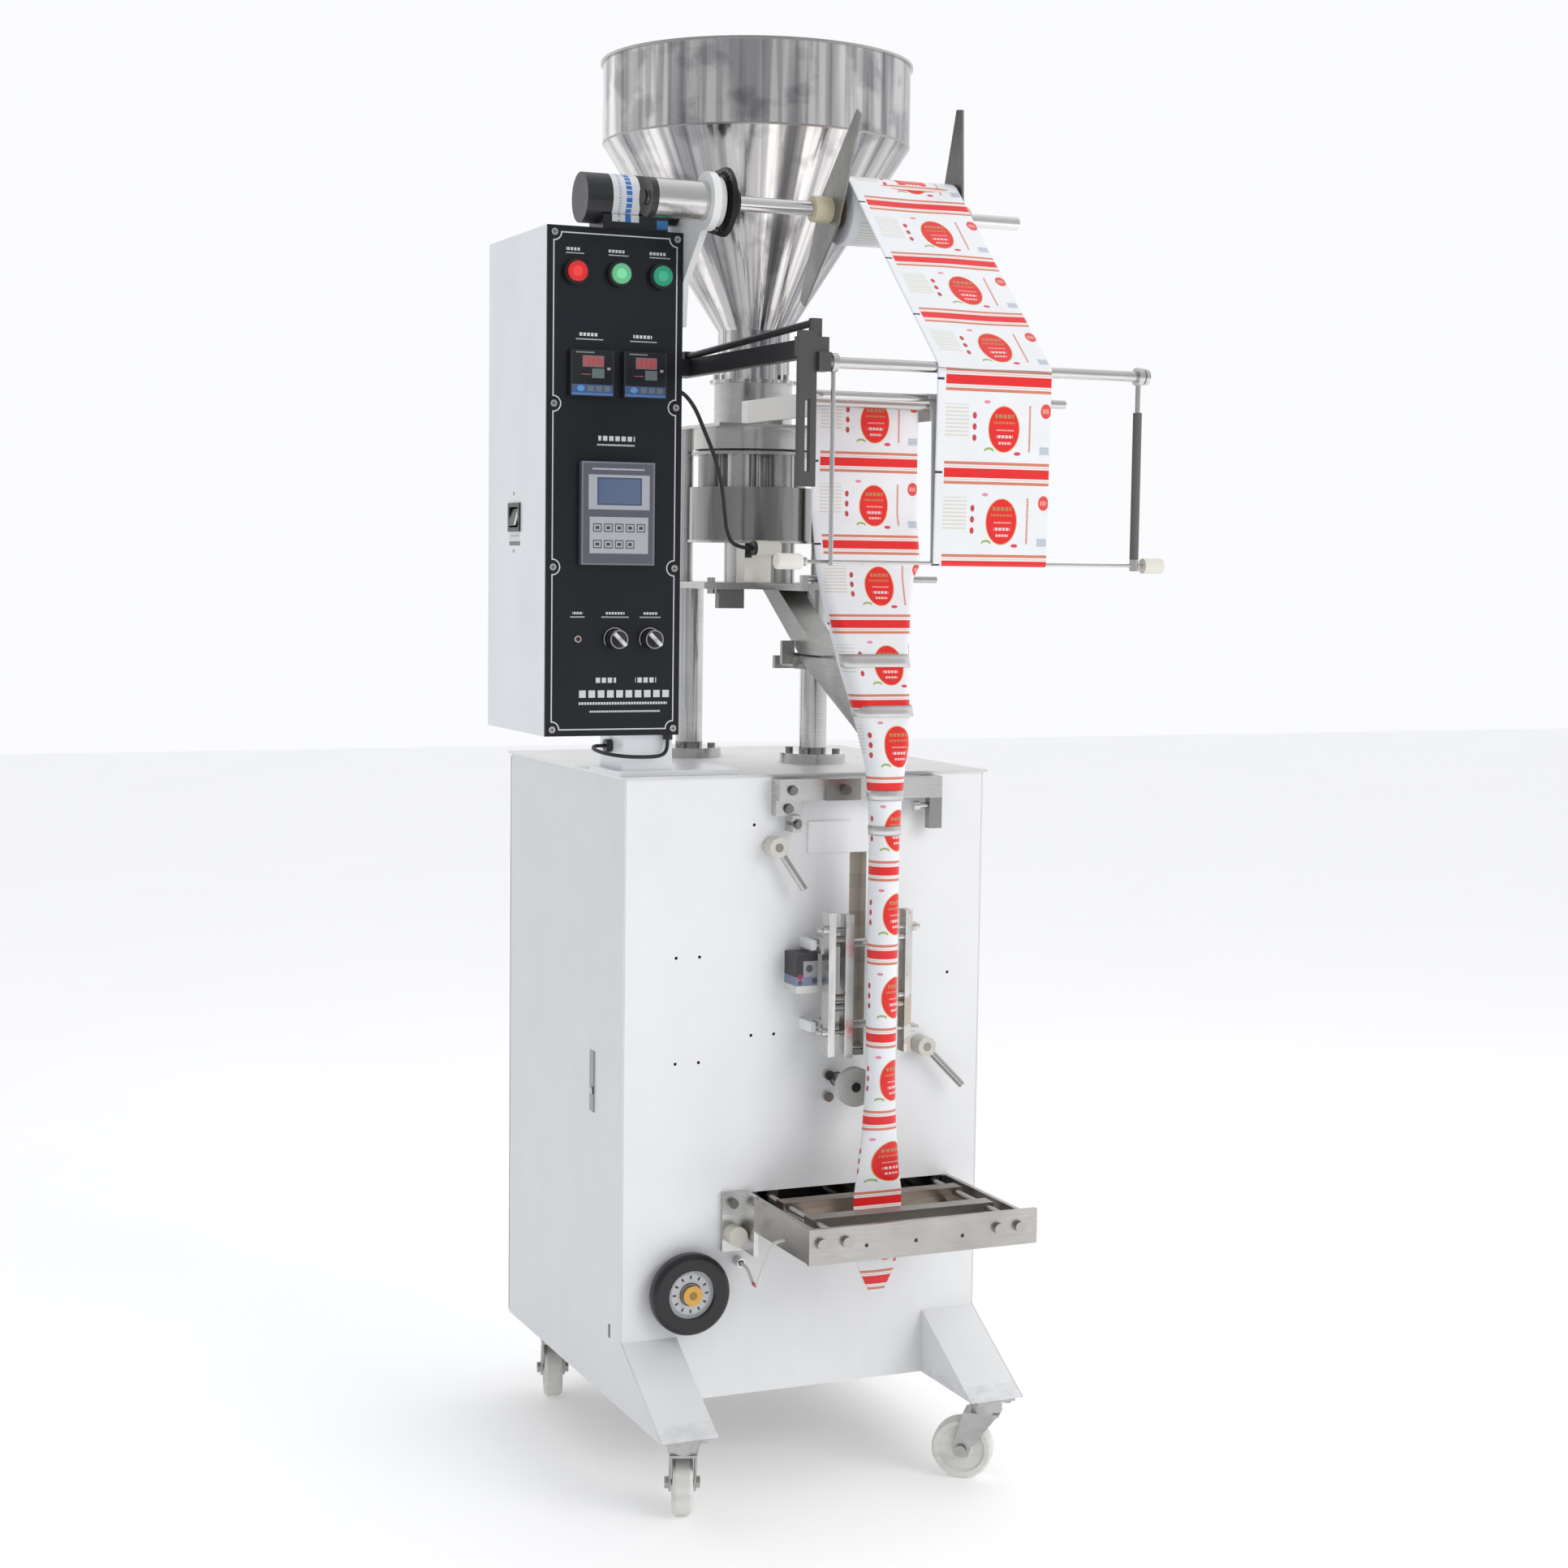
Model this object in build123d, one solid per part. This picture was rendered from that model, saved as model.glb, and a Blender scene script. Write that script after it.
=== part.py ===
"""Vertical form fill sealer: a small sachet machine on casters.

Design axes while building: x right from the cabinet's left face, y back from the cabinet's front
face, z up from the floor. Everything is shifted at the end, so the origin is the middle of the
whole machine's footprint, on the floor. Millimetres throughout.
"""

import os
from math import atan2, cos, degrees, pi, radians, sin

from build123d import *

# ---------------------------------------------------------------- driving dimensions
CABINET_W, CABINET_D = 475, 440
CABINET_Z0, CABINET_Z1 = 105, 865
SHEET = 2
TOP_PLATE_T, TOP_PLATE_OVER = 3, 4
FOOT_REACH, FOOT_W, FOOT_TOP_Z = 138, 72, 185
DOOR_GAP = 4
HINGE_X = CABINET_W - 4

WHEEL_R, WHEEL_W = 37.5, 24
CASTER_INSET, CASTER_FRONT_Y, CASTER_REAR_Y, CASTER_TRAIL = 38, -112, 360, 28
CASTER_TURN = {"front_left": -20, "front_right": 53, "rear_left": -16, "rear_right": 12}

BOX_X0, BOX_X1, BOX_Y0, BOX_Y1, BOX_Z0, BOX_Z1 = -99, 67, 0, 222, 914, 1499
PANEL_T, BOX_WALL = 3, 1.5

HOPPER_X, HOPPER_Y = 258, 238
HOPPER_R, HOPPER_RIM_Z, HOPPER_CONE_Z, HOPPER_NECK_Z = 195, 1742, 1643, 1411
HOPPER_NECK_R, HOPPER_SPOUT_Z = 46, 1300
POST_R, TABLE_Z, TABLE_T = 17.5, 1085, 8
POSTS = ((200, 303), (317, 168))
CUP_RING_R, CUP_R, CUPS, DROP_ANGLE = 55, 14, 6, -70

FILM_X, FILM_W = 297, 140
REEL_R = 39
UNWIND_Y, UNWIND_Z, UNWIND_R = -86, 1525, 8.5
SHAFT_END_R = 8
WING_LONG, WING_WIDE, WING_T = 125, 30, 2.5
MOTOR_Y, MOTOR_Z = 30, 1536
ROLLER_A_Y, ROLLER_A_Z, ROLLER_A_R = -337, 1330, 6
ROD_D_Y, ROD_D_Z, ROD_D_R = -318, 1297, 5
ROLLER_C_Y, ROLLER_C_Z, ROLLER_C_R = -24, 1309, 5
DANCER_Z, DANCER_ROD_R, DANCER_X0, DANCER_X1 = 1120, 2, 104, 484
DANCER_KNOB_R, DANCER_KNOB_X = 8.5, 516

TUBE_X, TUBE_Y, TUBE_R, TUBE_Z0, TUBE_Z1 = 293, -96, 17.0, 700, 892
FUNNEL_Z = 1003
FIN_X = 304.3
SEAL_SUM = 2 * FIN_X - 22

PULL_R, PINCH_R, ROLLER_Z = 24, 14, 487
HAND_X, HAND_Z, HAND_R, SHAFT_R = 82, 242, 50, 8
JAW_X0, JAW_X1, JAW_FRONT_Y, JAW_Z0, JAW_Z1 = 161, 437, -193, 313, 355
GUIDE_Z = 348
RUN = 0.05

ORIGIN_X = (BOX_X0 - 4 + DANCER_KNOB_X) / 2
ORIGIN_Y = (ROLLER_A_Y - 10 + CABINET_D + 10) / 2

parts = {}


# ---------------------------------------------------------------- helpers
def block(x0, x1, y0, y1, z0, z1):
    """Rectangular block between two corners."""
    return Pos((x0 + x1) / 2, (y0 + y1) / 2, (z0 + z1) / 2) * Box(x1 - x0, y1 - y0, z1 - z0)


def rod(start, end, radius, bore=0.0):
    """Round bar from one point to another, or a tube when it has a bore."""
    start, end = Vector(*start), Vector(*end)
    length = (end - start).length
    place = Plane(origin=start, z_dir=end - start).location * Pos(0, 0, length / 2)
    bar = place * Cylinder(radius, length)
    return bar - place * Cylinder(bore, length + 2) if bore else bar


def along_x(x0, x1, y, z, radius, bore=0.0):
    """Round bar or tube along x."""
    return rod((x0, y, z), (x1, y, z), radius, bore)


def along_y(y0, y1, x, z, radius, bore=0.0):
    """Round bar or tube along y."""
    return rod((x, y0, z), (x, y1, z), radius, bore)


def along_z(z0, z1, x, y, radius, bore=0.0):
    """Round bar or tube along z."""
    return rod((x, y, z0), (x, y, z1), radius, bore)


def plate_yz(outline, x0, x1):
    """Plate whose (y, z) outline is extruded along x."""
    face = Plane.YZ.offset(x0) * make_face(Polyline(*outline, close=True))
    return extrude(face, amount=x1 - x0)


def plate_xz(outline, y0, y1):
    """Plate whose (x, z) outline is extruded along y."""
    plane = Plane(origin=(0, y1, 0), x_dir=(1, 0, 0), z_dir=(0, -1, 0))
    return extrude(plane * make_face(Polyline(*outline, close=True)), amount=y1 - y0)


def turned(outline, x=0.0, y=0.0):
    """Ring or vessel turned about a vertical axis from an (r, z) outline."""
    face = Plane.XZ * make_face(Polyline(*outline, close=True))
    return Pos(x, y, 0) * revolve(face, Axis.Z)


def group(*solids):
    """Several pieces that share one node, each kept as its own solid."""
    return Compound(children=[s for item in solids for s in item.solids()])


def film_strip(path, thickness=0.6):
    """Film that follows a (y, z) path, across the film's width."""
    side = [Vector(y, z) for y, z in path]
    upper, lower = [], []
    for i, point in enumerate(side):
        ahead = side[min(i + 1, len(side) - 1)] - side[max(i - 1, 0)]
        normal = Vector(-ahead.Y, ahead.X).normalized() * (thickness / 2)
        upper.append((point.X + normal.X, point.Y + normal.Y))
        lower.append((point.X - normal.X, point.Y - normal.Y))
    return plate_yz(upper + lower[::-1], FILM_X - FILM_W / 2, FILM_X + FILM_W / 2)


def arc_points(y, z, radius, start, end, steps=8):
    """Points on an arc in the (y, z) plane, angles in degrees from +y."""
    angles = [radians(start + (end - start) * i / steps) for i in range(steps + 1)]
    return [(y + radius * cos(a), z + radius * sin(a)) for a in angles]


# ---------------------------------------------------------------- cabinet
def cabinet():
    """Sheet-steel cabinet with wedge feet."""
    top = CABINET_Z1 - TOP_PLATE_T
    back = CABINET_D - DOOR_GAP
    front = block(SHEET, CABINET_W - SHEET, 0, SHEET, CABINET_Z0, top)
    front -= block(293, 316, -1, SHEET + 1, 515, 767)
    front -= block(174, 430, -1, SHEET + 1, 321, 355)
    holes = ((HAND_X, HAND_Z, SHAFT_R + 2), (280, ROLLER_Z, 9), (318.6, ROLLER_Z, 7))
    holes += ((189, 778, 6 + RUN), (392, 524, 6 + RUN))
    screw_holes = ((166, 804), (67, 647), (97, 647), (165, 548), (195, 548))
    screw_holes += ((67, 519), (97, 519), (430, 612))
    holes += tuple((x, z, 2) for x, z in screw_holes)
    for x, z, radius in holes:
        front -= along_y(-1, SHEET + 1, x, z, radius)
    parts["front_panel"] = front

    side = [(0, CABINET_Z0), (back, CABINET_Z0), (back, top), (0, top), (0, FOOT_TOP_Z)]
    side.append((-FOOT_REACH, CABINET_Z0))
    left = plate_yz(side, 0, SHEET)
    left += block(-1.2, 0, 97, 114, 446, 521) + along_x(-3, 0, 104, 472, 5)
    left -= block(-1, SHEET + 1, 36, 43, 181, 198)
    right = plate_yz(side, CABINET_W - SHEET, CABINET_W)
    parts["side_panels"] = group(left, right)

    over = TOP_PLATE_OVER
    parts["top_plate"] = block(-over, CABINET_W + over, -over, CABINET_D, top, CABINET_Z1)

    base = block(SHEET, CABINET_W - SHEET, SHEET, back, CABINET_Z0, CABINET_Z0 + 4)
    posts = []
    for x0, x1, inner_x in ((SHEET, 32, 1), (CABINET_W - 32, CABINET_W - SHEET, -1)):
        for y0, y1, inner_y in ((SHEET, 32, 1), (back - 30, back, -1)):
            post = block(x0, x1, y0, y1, CABINET_Z0 + 4, top)
            post -= block(x0 + 3 * inner_x, x1 + 3 * inner_x, y0 + 3 * inner_y, y1 + 3 * inner_y, 0, 900)
            posts.append(post)

    door = block(0, CABINET_W, CABINET_D - SHEET, CABINET_D, CABINET_Z0 + 3, top - 4)
    for z in (150 + 20 * i for i in range(6)):
        door -= block(160, 320, CABINET_D - SHEET - 1, CABINET_D + 1, z, z + 6)
    for z in (230, 740):
        door += block(HINGE_X - 12, HINGE_X, CABINET_D, CABINET_D + 3, z - 15, z + 15)
        door += along_z(z - 15, z + 15, HINGE_X, CABINET_D + 5, 5)
        door -= along_z(z - 40, z + 40, HINGE_X, CABINET_D + 5, 3 + RUN)
    door += block(23, 35, CABINET_D, CABINET_D + 10, 450, 510)
    parts["rear_door"] = door

    brackets = []
    for z in (230, 740):
        for z0 in (z - 30, z + 16):
            ear = along_z(z0, z0 + 14, HINGE_X, CABINET_D + 5, 4.6)
            ear += block(CABINET_W + 1, CABINET_W + 6, CABINET_D - 30, CABINET_D + 6, z0, z0 + 14)
            ear += block(HINGE_X, CABINET_W + 3, CABINET_D + 2, CABINET_D + 8, z0, z0 + 14)
            ear -= along_z(z0 - 1, z0 + 15, HINGE_X, CABINET_D + 5, 3)
            brackets.append(ear)
    y0, y1 = CABINET_D - 30, CABINET_D - 6
    plates = [block(CABINET_W, CABINET_W + 1, y0, y1, z - 30, z + 30) for z in (230, 740)]
    pins = [along_z(z - 34, z + 34, HINGE_X, CABINET_D + 5, 3) for z in (230, 740)]
    parts["inner_frame"] = group(base, *posts, *brackets, *plates, *pins)


def feet():
    """Slanted covers, gussets and bottom plates of the two front feet."""
    made = []
    top, toe, heel = (0, FOOT_TOP_Z), (-FOOT_REACH, CABINET_Z0), (0, CABINET_Z0)
    inner = CABINET_W - FOOT_W
    for x0, x1, gusset in ((SHEET, FOOT_W, FOOT_W - SHEET), (inner, CABINET_W - SHEET, inner)):
        wedge = [top, toe, (-FOOT_REACH + 5, CABINET_Z0), (0, FOOT_TOP_Z - 3)]
        foot = plate_yz(wedge, x0, x1)
        foot += plate_yz([top, toe, heel], gusset, gusset + SHEET)
        foot += block(x0, x1, -FOOT_REACH + 4, 0, CABINET_Z0, CABINET_Z0 + 3)
        made.append(foot)
    parts["front_feet"] = group(*made)


# ---------------------------------------------------------------- casters
CASTER_PLACES = {
    "front_left": (CASTER_INSET, CASTER_FRONT_Y),
    "front_right": (CABINET_W - CASTER_INSET, CASTER_FRONT_Y),
    "rear_left": (CASTER_INSET, CASTER_REAR_Y),
    "rear_right": (CABINET_W - CASTER_INSET, CASTER_REAR_Y),
}


def caster_fork():
    """Swivelling fork about z, its wheel trailing towards +y, with the axle bolt."""
    fork = along_z(84, 91.5, 0, 0, 18)
    fork += block(-16, 16, -18, 26, 82, 85)
    leg = [(-18, 85), (26, 85), (CASTER_TRAIL + 10, 40), (CASTER_TRAIL + 8, 30)]
    leg += [(CASTER_TRAIL - 8, 29), (CASTER_TRAIL - 11, 40)]
    for x0 in (-16, 13.5):
        fork += plate_yz(leg, x0, x0 + 2.5)
    fork += along_z(90, 98, 0, 0, 5)
    axle = along_x(-16, 16, CASTER_TRAIL, WHEEL_R, 4)
    for x0, x1 in ((-21, -16), (16, 21)):
        axle += along_x(x0, x1, CASTER_TRAIL, WHEEL_R, 7)
    return fork + axle


def caster_wheel():
    """Wheel with a crowned tread, hub recesses and an axle bore."""
    half = WHEEL_W / 2
    outline = [(4 + RUN, -half), (12, -half), (14, -half + 3), (27, -half + 3)]
    outline += [(29, -half), (WHEEL_R - 3, -half)]
    outline += [(WHEEL_R, -half + 4), (WHEEL_R, half - 4), (WHEEL_R - 3, half), (29, half), (27, half - 3)]
    outline += [(14, half - 3), (12, half), (4 + RUN, half)]
    return Pos(0, CASTER_TRAIL, WHEEL_R) * Rot(0, 90, 0) * turned(outline)


def casters():
    """Four swivel casters: fixed plates with races, forks and wheels."""
    plates = []
    for name, (x, y) in CASTER_PLACES.items():
        race = block(x - 26, x + 26, y - 26, y + 26, 102, 105) + along_z(92, 102, x, y, 20)
        race -= along_z(91, 99, x, y, 5 + RUN)
        for dx, dy in ((-19, -19), (19, -19), (-19, 19), (19, 19)):
            race += along_z(99, 102, x + dx, y + dy, 5)
        plates.append(race)
        place = Pos(x, y, 0) * Rot(0, 0, CASTER_TURN[name])
        parts[f"caster_fork_{name}"] = place * caster_fork()
        parts[f"caster_wheel_{name}"] = place * caster_wheel()
    parts["caster_plates"] = group(*plates)


# ---------------------------------------------------------------- drive
def drive():
    """Main shaft with cams, handwheel, bearing blocks and the drive motors."""
    shaft = along_y(-22, 352, HAND_X, HAND_Z, SHAFT_R)
    for y, radius, shift, turn in ((120, 44, 12, 0), (180, 40, 14, 100), (240, 36, 10, 215)):
        a = radians(turn)
        shaft += along_y(y, y + 12, HAND_X + shift * cos(a), HAND_Z + shift * sin(a), radius)
        shaft += along_y(y - 8, y + 20, HAND_X, HAND_Z, 15)
    parts["cam_shaft"] = shaft

    rim = along_y(-27, -7, HAND_X, HAND_Z, HAND_R, 30)
    rim = fillet(rim.edges().filter_by(GeomType.CIRCLE).sort_by(SortBy.RADIUS)[-2:], 7)
    dial = along_y(-20, -11, HAND_X, HAND_Z, 30, SHAFT_R)
    nut = along_y(-29, -22, HAND_X, HAND_Z, 12)
    parts["handwheel"] = rim + dial + nut

    pieces = []
    for y in (60, 290):
        stand = block(HAND_X - 20, HAND_X + 20, y, y + 16, CABINET_Z0 + 4, HAND_Z + 22)
        pieces.append(stand - along_y(y - 1, y + 17, HAND_X, HAND_Z, SHAFT_R + RUN))
    gear = block(HAND_X - 42, HAND_X + 42, 332, 372, CABINET_Z0 + 4, HAND_Z + 42)
    gear -= along_y(331, 353, HAND_X, HAND_Z, SHAFT_R + RUN)
    gear += along_y(372, 428, HAND_X, HAND_Z, 37)
    pieces.append(gear)
    roller_gear = block(252, 348, SHEET, 48, 452, 522)
    roller_gear -= along_y(SHEET - 1, 47, 280, ROLLER_Z, SHAFT_R + RUN)
    roller_gear -= along_y(SHEET - 1, 47, 318.6, ROLLER_Z, 6 + RUN)
    roller_gear += along_y(48, 118, 280, ROLLER_Z, 28)
    pieces.append(roller_gear)
    parts["drive_units"] = group(*pieces)

    pull = along_y(-56, -46, 280, ROLLER_Z, PULL_R) + along_y(-46, -28, 280, ROLLER_Z, 13)
    parts["pull_roller"] = pull + along_y(-57, 45, 280, ROLLER_Z, SHAFT_R)
    pinch = along_y(-56, -46, 318.6, ROLLER_Z, PINCH_R)
    parts["pinch_roller"] = pinch + along_y(-58, 45, 318.6, ROLLER_Z, 6)


# ---------------------------------------------------------------- control box
BUTTONS = {"red_button": (-66, 1447), "pale_green_button": (-13, 1447), "green_button": (38, 1447)}
KNOBS = {"temperature_knob": (-14, 1027), "speed_knob": (30, 1027)}
SWITCH_Y, SWITCH_Z = 117, 1168


def control_box():
    """Box on its post, the black panel and everything on it."""
    wall = BOX_WALL
    shell = block(BOX_X0, BOX_X1, BOX_Y0 + PANEL_T, BOX_Y1, BOX_Z0, BOX_Z1)
    shell -= block(BOX_X0 + wall, BOX_X1 - wall, BOX_Y0 - 1, BOX_Y1 - wall, BOX_Z0 + wall, BOX_Z1 - wall)
    shell -= block(BOX_X0 - 1, BOX_X0 + 2, SWITCH_Y - 18, SWITCH_Y + 18, SWITCH_Z - 14, SWITCH_Z + 14)
    shell -= along_x(BOX_X1 - 3, BOX_X1 + 1, 80, 1325, 5)
    shell -= along_z(BOX_Z0 - 1, BOX_Z0 + 3, 57, 10, 4)
    plate = block(BOX_X0 + 10, BOX_X1 - 10, BOX_Y1 - 10, BOX_Y1 - wall, BOX_Z0 + 30, BOX_Z1 - 30)
    inside = []
    for i, z in enumerate((960, 1060, 1160, 1260)):
        inside.append(block(BOX_X0 + 22, BOX_X1 - 22 - 20 * (i % 2), BOX_Y1 - 60, BOX_Y1 - 10, z, z + 62))
    inside.append(block(BOX_X0 + 20, BOX_X1 - 20, BOX_Y1 - 45, BOX_Y1 - 10, 1360, 1400))
    post = block(4, 66, 18, 98, CABINET_Z1 + 6, BOX_Z0) - along_x(3, 16, 60, 898, 4)
    base = block(-6, 148, 10, 108, CABINET_Z1, CABINET_Z1 + 6)
    parts["control_box_shell"] = group(shell, plate, *inside, post, base)

    panel = block(BOX_X0, BOX_X1, BOX_Y0, BOX_Y0 + PANEL_T, BOX_Z0, BOX_Z1)
    for x, z in BUTTONS.values():
        panel -= along_y(-1, 4, x, z, 9)
    for x, z in KNOBS.values():
        panel -= along_y(-1, 4, x, z, 4 + RUN)
    panel -= along_y(-1, 4, -60, 1027, 4)
    for x0 in (-73, -8):
        panel -= block(x0 + 3, x0 + 50, -1, 4, 1309, 1356)
    panel -= block(-56, 28, -1, 4, 1116, 1229)
    parts["control_panel"] = panel

    meters = []
    for x0 in (-73, -8):
        meters.append(block(x0, x0 + 53, -8, 0, 1306, 1359) + block(x0 + 3, x0 + 50, 0, 70, 1309, 1356))
    parts["temperature_controllers"] = group(*meters)
    parts["bag_controller"] = block(-59, 31, -9, 0, 1113, 1232) + block(-56, 28, 0, 60, 1116, 1229)

    fittings = []
    for x, z in BUTTONS.values():
        bezel = along_y(-8, 0, x, z, 14.5) + along_y(0, 26, x, z, 9)
        bezel -= along_y(-9, -0.8, x, z, 11.8)
        fittings.append(bezel - along_y(-6, 20, x, z, 7.5))
    for x in (BOX_X0 + 8, BOX_X1 - 8):
        for z in (BOX_Z0 + 8, 1110, 1297, BOX_Z1 - 8):
            fittings.append(along_y(-2.5, 0, x, z, 4))
    fittings.append(along_y(-3, 8, -60, 1027, 4))
    frame = block(BOX_X0 - 2, BOX_X0, SWITCH_Y - 22, SWITCH_Y + 22, SWITCH_Z - 17, SWITCH_Z + 17)
    frame += block(BOX_X0, BOX_X0 + 22, SWITCH_Y - 18, SWITCH_Y + 18, SWITCH_Z - 14, SWITCH_Z + 14)
    frame -= block(BOX_X0 - 3, BOX_X0 + 14, SWITCH_Y - 16, SWITCH_Y + 16, SWITCH_Z - 12, SWITCH_Z + 12)
    fittings.append(frame)
    fittings.append(along_x(BOX_X1, BOX_X1 + 10, 80, 1325, 7, 2.5))
    fittings.append(along_z(BOX_Z0 - 6, BOX_Z0, 57, 10, 6, 2.25))
    fittings.append(along_x(-4, 4, 60, 898, 8, 2.25))
    parts["panel_fittings"] = group(*fittings)

    for name, (x, z) in BUTTONS.items():
        parts[name] = along_y(-5, 14, x, z, 7.4) + along_y(-12, -4, x, z, 11.6)
    for name, (x, z) in KNOBS.items():
        pointer = Pos(x, 0, z) * Rot(0, -45, 0) * block(-2, 2, -21, -16, -10, 10)
        knob = along_y(-16, -1, x, z, 11) + pointer
        parts[name] = knob + along_y(-1, 14, x, z, 4)
    rocker = [(BOX_X0 - 4, SWITCH_Z - 10), (BOX_X0 + 1, SWITCH_Z + 10)]
    rocker += [(BOX_X0 + 8, SWITCH_Z + 8), (BOX_X0 + 8, SWITCH_Z - 8)]
    parts["main_switch"] = plate_xz(rocker, SWITCH_Y - 15, SWITCH_Y + 15)


# ---------------------------------------------------------------- filler and hopper
def filler():
    """Posts, filler table, cup turntable, cover, hopper plate and hopper."""
    posts = []
    for x, y in POSTS:
        post = along_z(CABINET_Z1 + 12, TABLE_Z, x, y, POST_R)
        flange = along_z(CABINET_Z1, CABINET_Z1 + 12, x, y, 42)
        for i in range(4):
            a = radians(45 + 90 * i)
            flange += along_z(CABINET_Z1 + 12, CABINET_Z1 + 18, x + 32 * cos(a), y + 32 * sin(a), 5)
        posts.append(post + flange)
    parts["support_posts"] = group(*posts)

    cx, cy = HOPPER_X, HOPPER_Y
    drop = (cx + CUP_RING_R * cos(radians(DROP_ANGLE)), cy + CUP_RING_R * sin(radians(DROP_ANGLE)))
    table_top = TABLE_Z + TABLE_T
    table = block(150, 366, 130, 346, TABLE_Z, table_top)
    table -= along_z(TABLE_Z - 1, table_top + 1, *drop, 17)
    hub = along_z(table_top, 1143, cx, cy, 35) + along_z(1143, 1146, cx, cy, 82)
    hub -= along_z(table_top + 4, 1150, cx, cy, 10 + RUN)
    hub += along_z(table_top, 1143, *drop, 18)
    hub -= along_z(table_top - 1, 1150, *drop, 16)
    table += hub
    for x in (165, 351):
        table += along_z(table_top, table_top + 6, x, 145, 5) + along_z(TABLE_Z - 6, TABLE_Z, x, 145, 5)
    scraper = block(205, 240, 132, 160, table_top, 1142)
    sensor = along_x(210, 246, 121, 1136, 9) + block(222, 234, 121, 132, 1128, 1144)
    hanger = block(172, 206, 136, 148, TABLE_Z - 24, TABLE_Z)
    bar = along_x(222, 394, ROLLER_C_Y + 4, 1100, 4) + block(214, 222, -24, 130, TABLE_Z, table_top)
    bar += block(214, 222, -24, -16, table_top, 1104)
    parts["filler_table"] = group(table + bar, scraper, sensor, hanger)

    parts["turntable_cover"] = along_z(1146, 1213, cx, cy, 80, 78.5)

    disc = along_z(1150, 1155, cx, cy, 74) + along_z(1254, 1258, cx, cy, 78)
    disc += along_z(1098, 1262, cx, cy, 10)
    cups = []
    for i in range(CUPS):
        a = radians(DROP_ANGLE + 360 * i / CUPS)
        x, y = cx + CUP_RING_R * cos(a), cy + CUP_RING_R * sin(a)
        disc += along_z(1155, 1254, x, y, CUP_R + 1.5)
        cups.append(along_z(1149, 1260, x, y, CUP_R))
    for cup in cups:
        disc -= cup
    parts["cup_turntable"] = disc

    upper = block(176, 384, 150, 328, 1287, 1291) - along_z(1286, 1292, cx, cy, 48.5)
    upper += along_z(1291, 1345, cx, cy, 50, 48.5)
    upper += along_z(1261, 1287, cx, cy, 76, 74)
    for x, y in ((196, 310), (320, 166)):
        upper += along_z(table_top, 1287, x, y, 9)
    for x0, x1 in ((214, 220), (375, 381)):
        upper += block(x0, x1, -34, 170, 1291, 1319)
    upper += along_x(220, 375, ROLLER_C_Y, ROLLER_C_Z, ROLLER_C_R)
    parts["filler_frame"] = upper

    r, neck, t = HOPPER_R, HOPPER_NECK_R, 1.5
    outline = [(neck, HOPPER_SPOUT_Z), (neck, HOPPER_NECK_Z), (r, HOPPER_CONE_Z), (r, HOPPER_RIM_Z)]
    outline += [(r + 3, HOPPER_RIM_Z), (r + 3, HOPPER_RIM_Z + 3), (r - t, HOPPER_RIM_Z + 3)]
    outline += [(r - t, HOPPER_CONE_Z + 1), (neck - t, HOPPER_NECK_Z + 1), (neck - t, HOPPER_SPOUT_Z)]
    hopper = turned(outline, cx, cy)
    hopper += along_z(1345, 1349, cx, cy, 56, neck)
    for a in (60, 180, 300):
        x, y = cx + 52 * cos(radians(a)), cy + 52 * sin(radians(a))
        hopper += along_z(1349, 1356, x, y, 3.5)
    parts["hopper"] = hopper


def chute_and_former():
    """Product chute, funnel that the film folds over, and forming tube."""
    cheek = [(158, 1084), (208, 1084), (92, 1006), (30, 1006)]
    low_side = [(158, 1084), (161, 1084), (35, 1006), (30, 1006)]
    high_side = [(205, 1084), (208, 1084), (92, 1006), (86, 1006)]
    chute = [plate_yz(cheek, x, x + 2) for x in (262, 294)]
    chute += [plate_yz(side, 264, 294) for side in (low_side, high_side)]

    def skin(grow):
        mouth = Pos(FILM_X, 14, FUNNEL_Z) * Rectangle(66 + 2 * grow, 168 + 2 * grow)
        outlet = Pos(TUBE_X, TUBE_Y, TUBE_Z1) * Circle(TUBE_R - 1 + grow)
        return loft([mouth, outlet])

    funnel = skin(1) - skin(0)
    tube = along_z(TUBE_Z0, TUBE_Z1, TUBE_X, TUBE_Y, TUBE_R, TUBE_R - 1)
    arm = block(256, 263, 96, 150, 990, 1002)
    arm += block(243, 315, 100, 106, 993, 1022) - block(260, 298, 99, 107, 1007, 1023)
    clamp = along_z(984, 1002, POSTS[1][0], POSTS[1][1], 26, POST_R)
    arm += block(252, 292, 142, 150, 986, 1002) + clamp
    arm -= along_z(980, 1010, POSTS[1][0], POSTS[1][1], POST_R)
    parts["film_former"] = group(funnel, tube, arm, *chute)


# ---------------------------------------------------------------- unwinding
def wing(angle):
    """Kite-shaped reel plate in the (y, z) plane, its long axis leaning forward by the angle."""
    a = radians(angle)
    along, across = (-sin(a), cos(a)), (cos(a), sin(a))
    corners = []
    for length, width in ((WING_LONG, 0), (0, WING_WIDE), (-WING_LONG, 0), (0, -WING_WIDE)):
        tip = 7 if length else 0
        for sign in ((-1, 1) if length > 0 else (1, -1)) if length else (0,):
            wide = width + sign * tip
            y = UNWIND_Y + length * along[0] + wide * across[0]
            z = UNWIND_Z + length * along[1] + wide * across[1]
            corners.append((y, z))
    return corners


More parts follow.
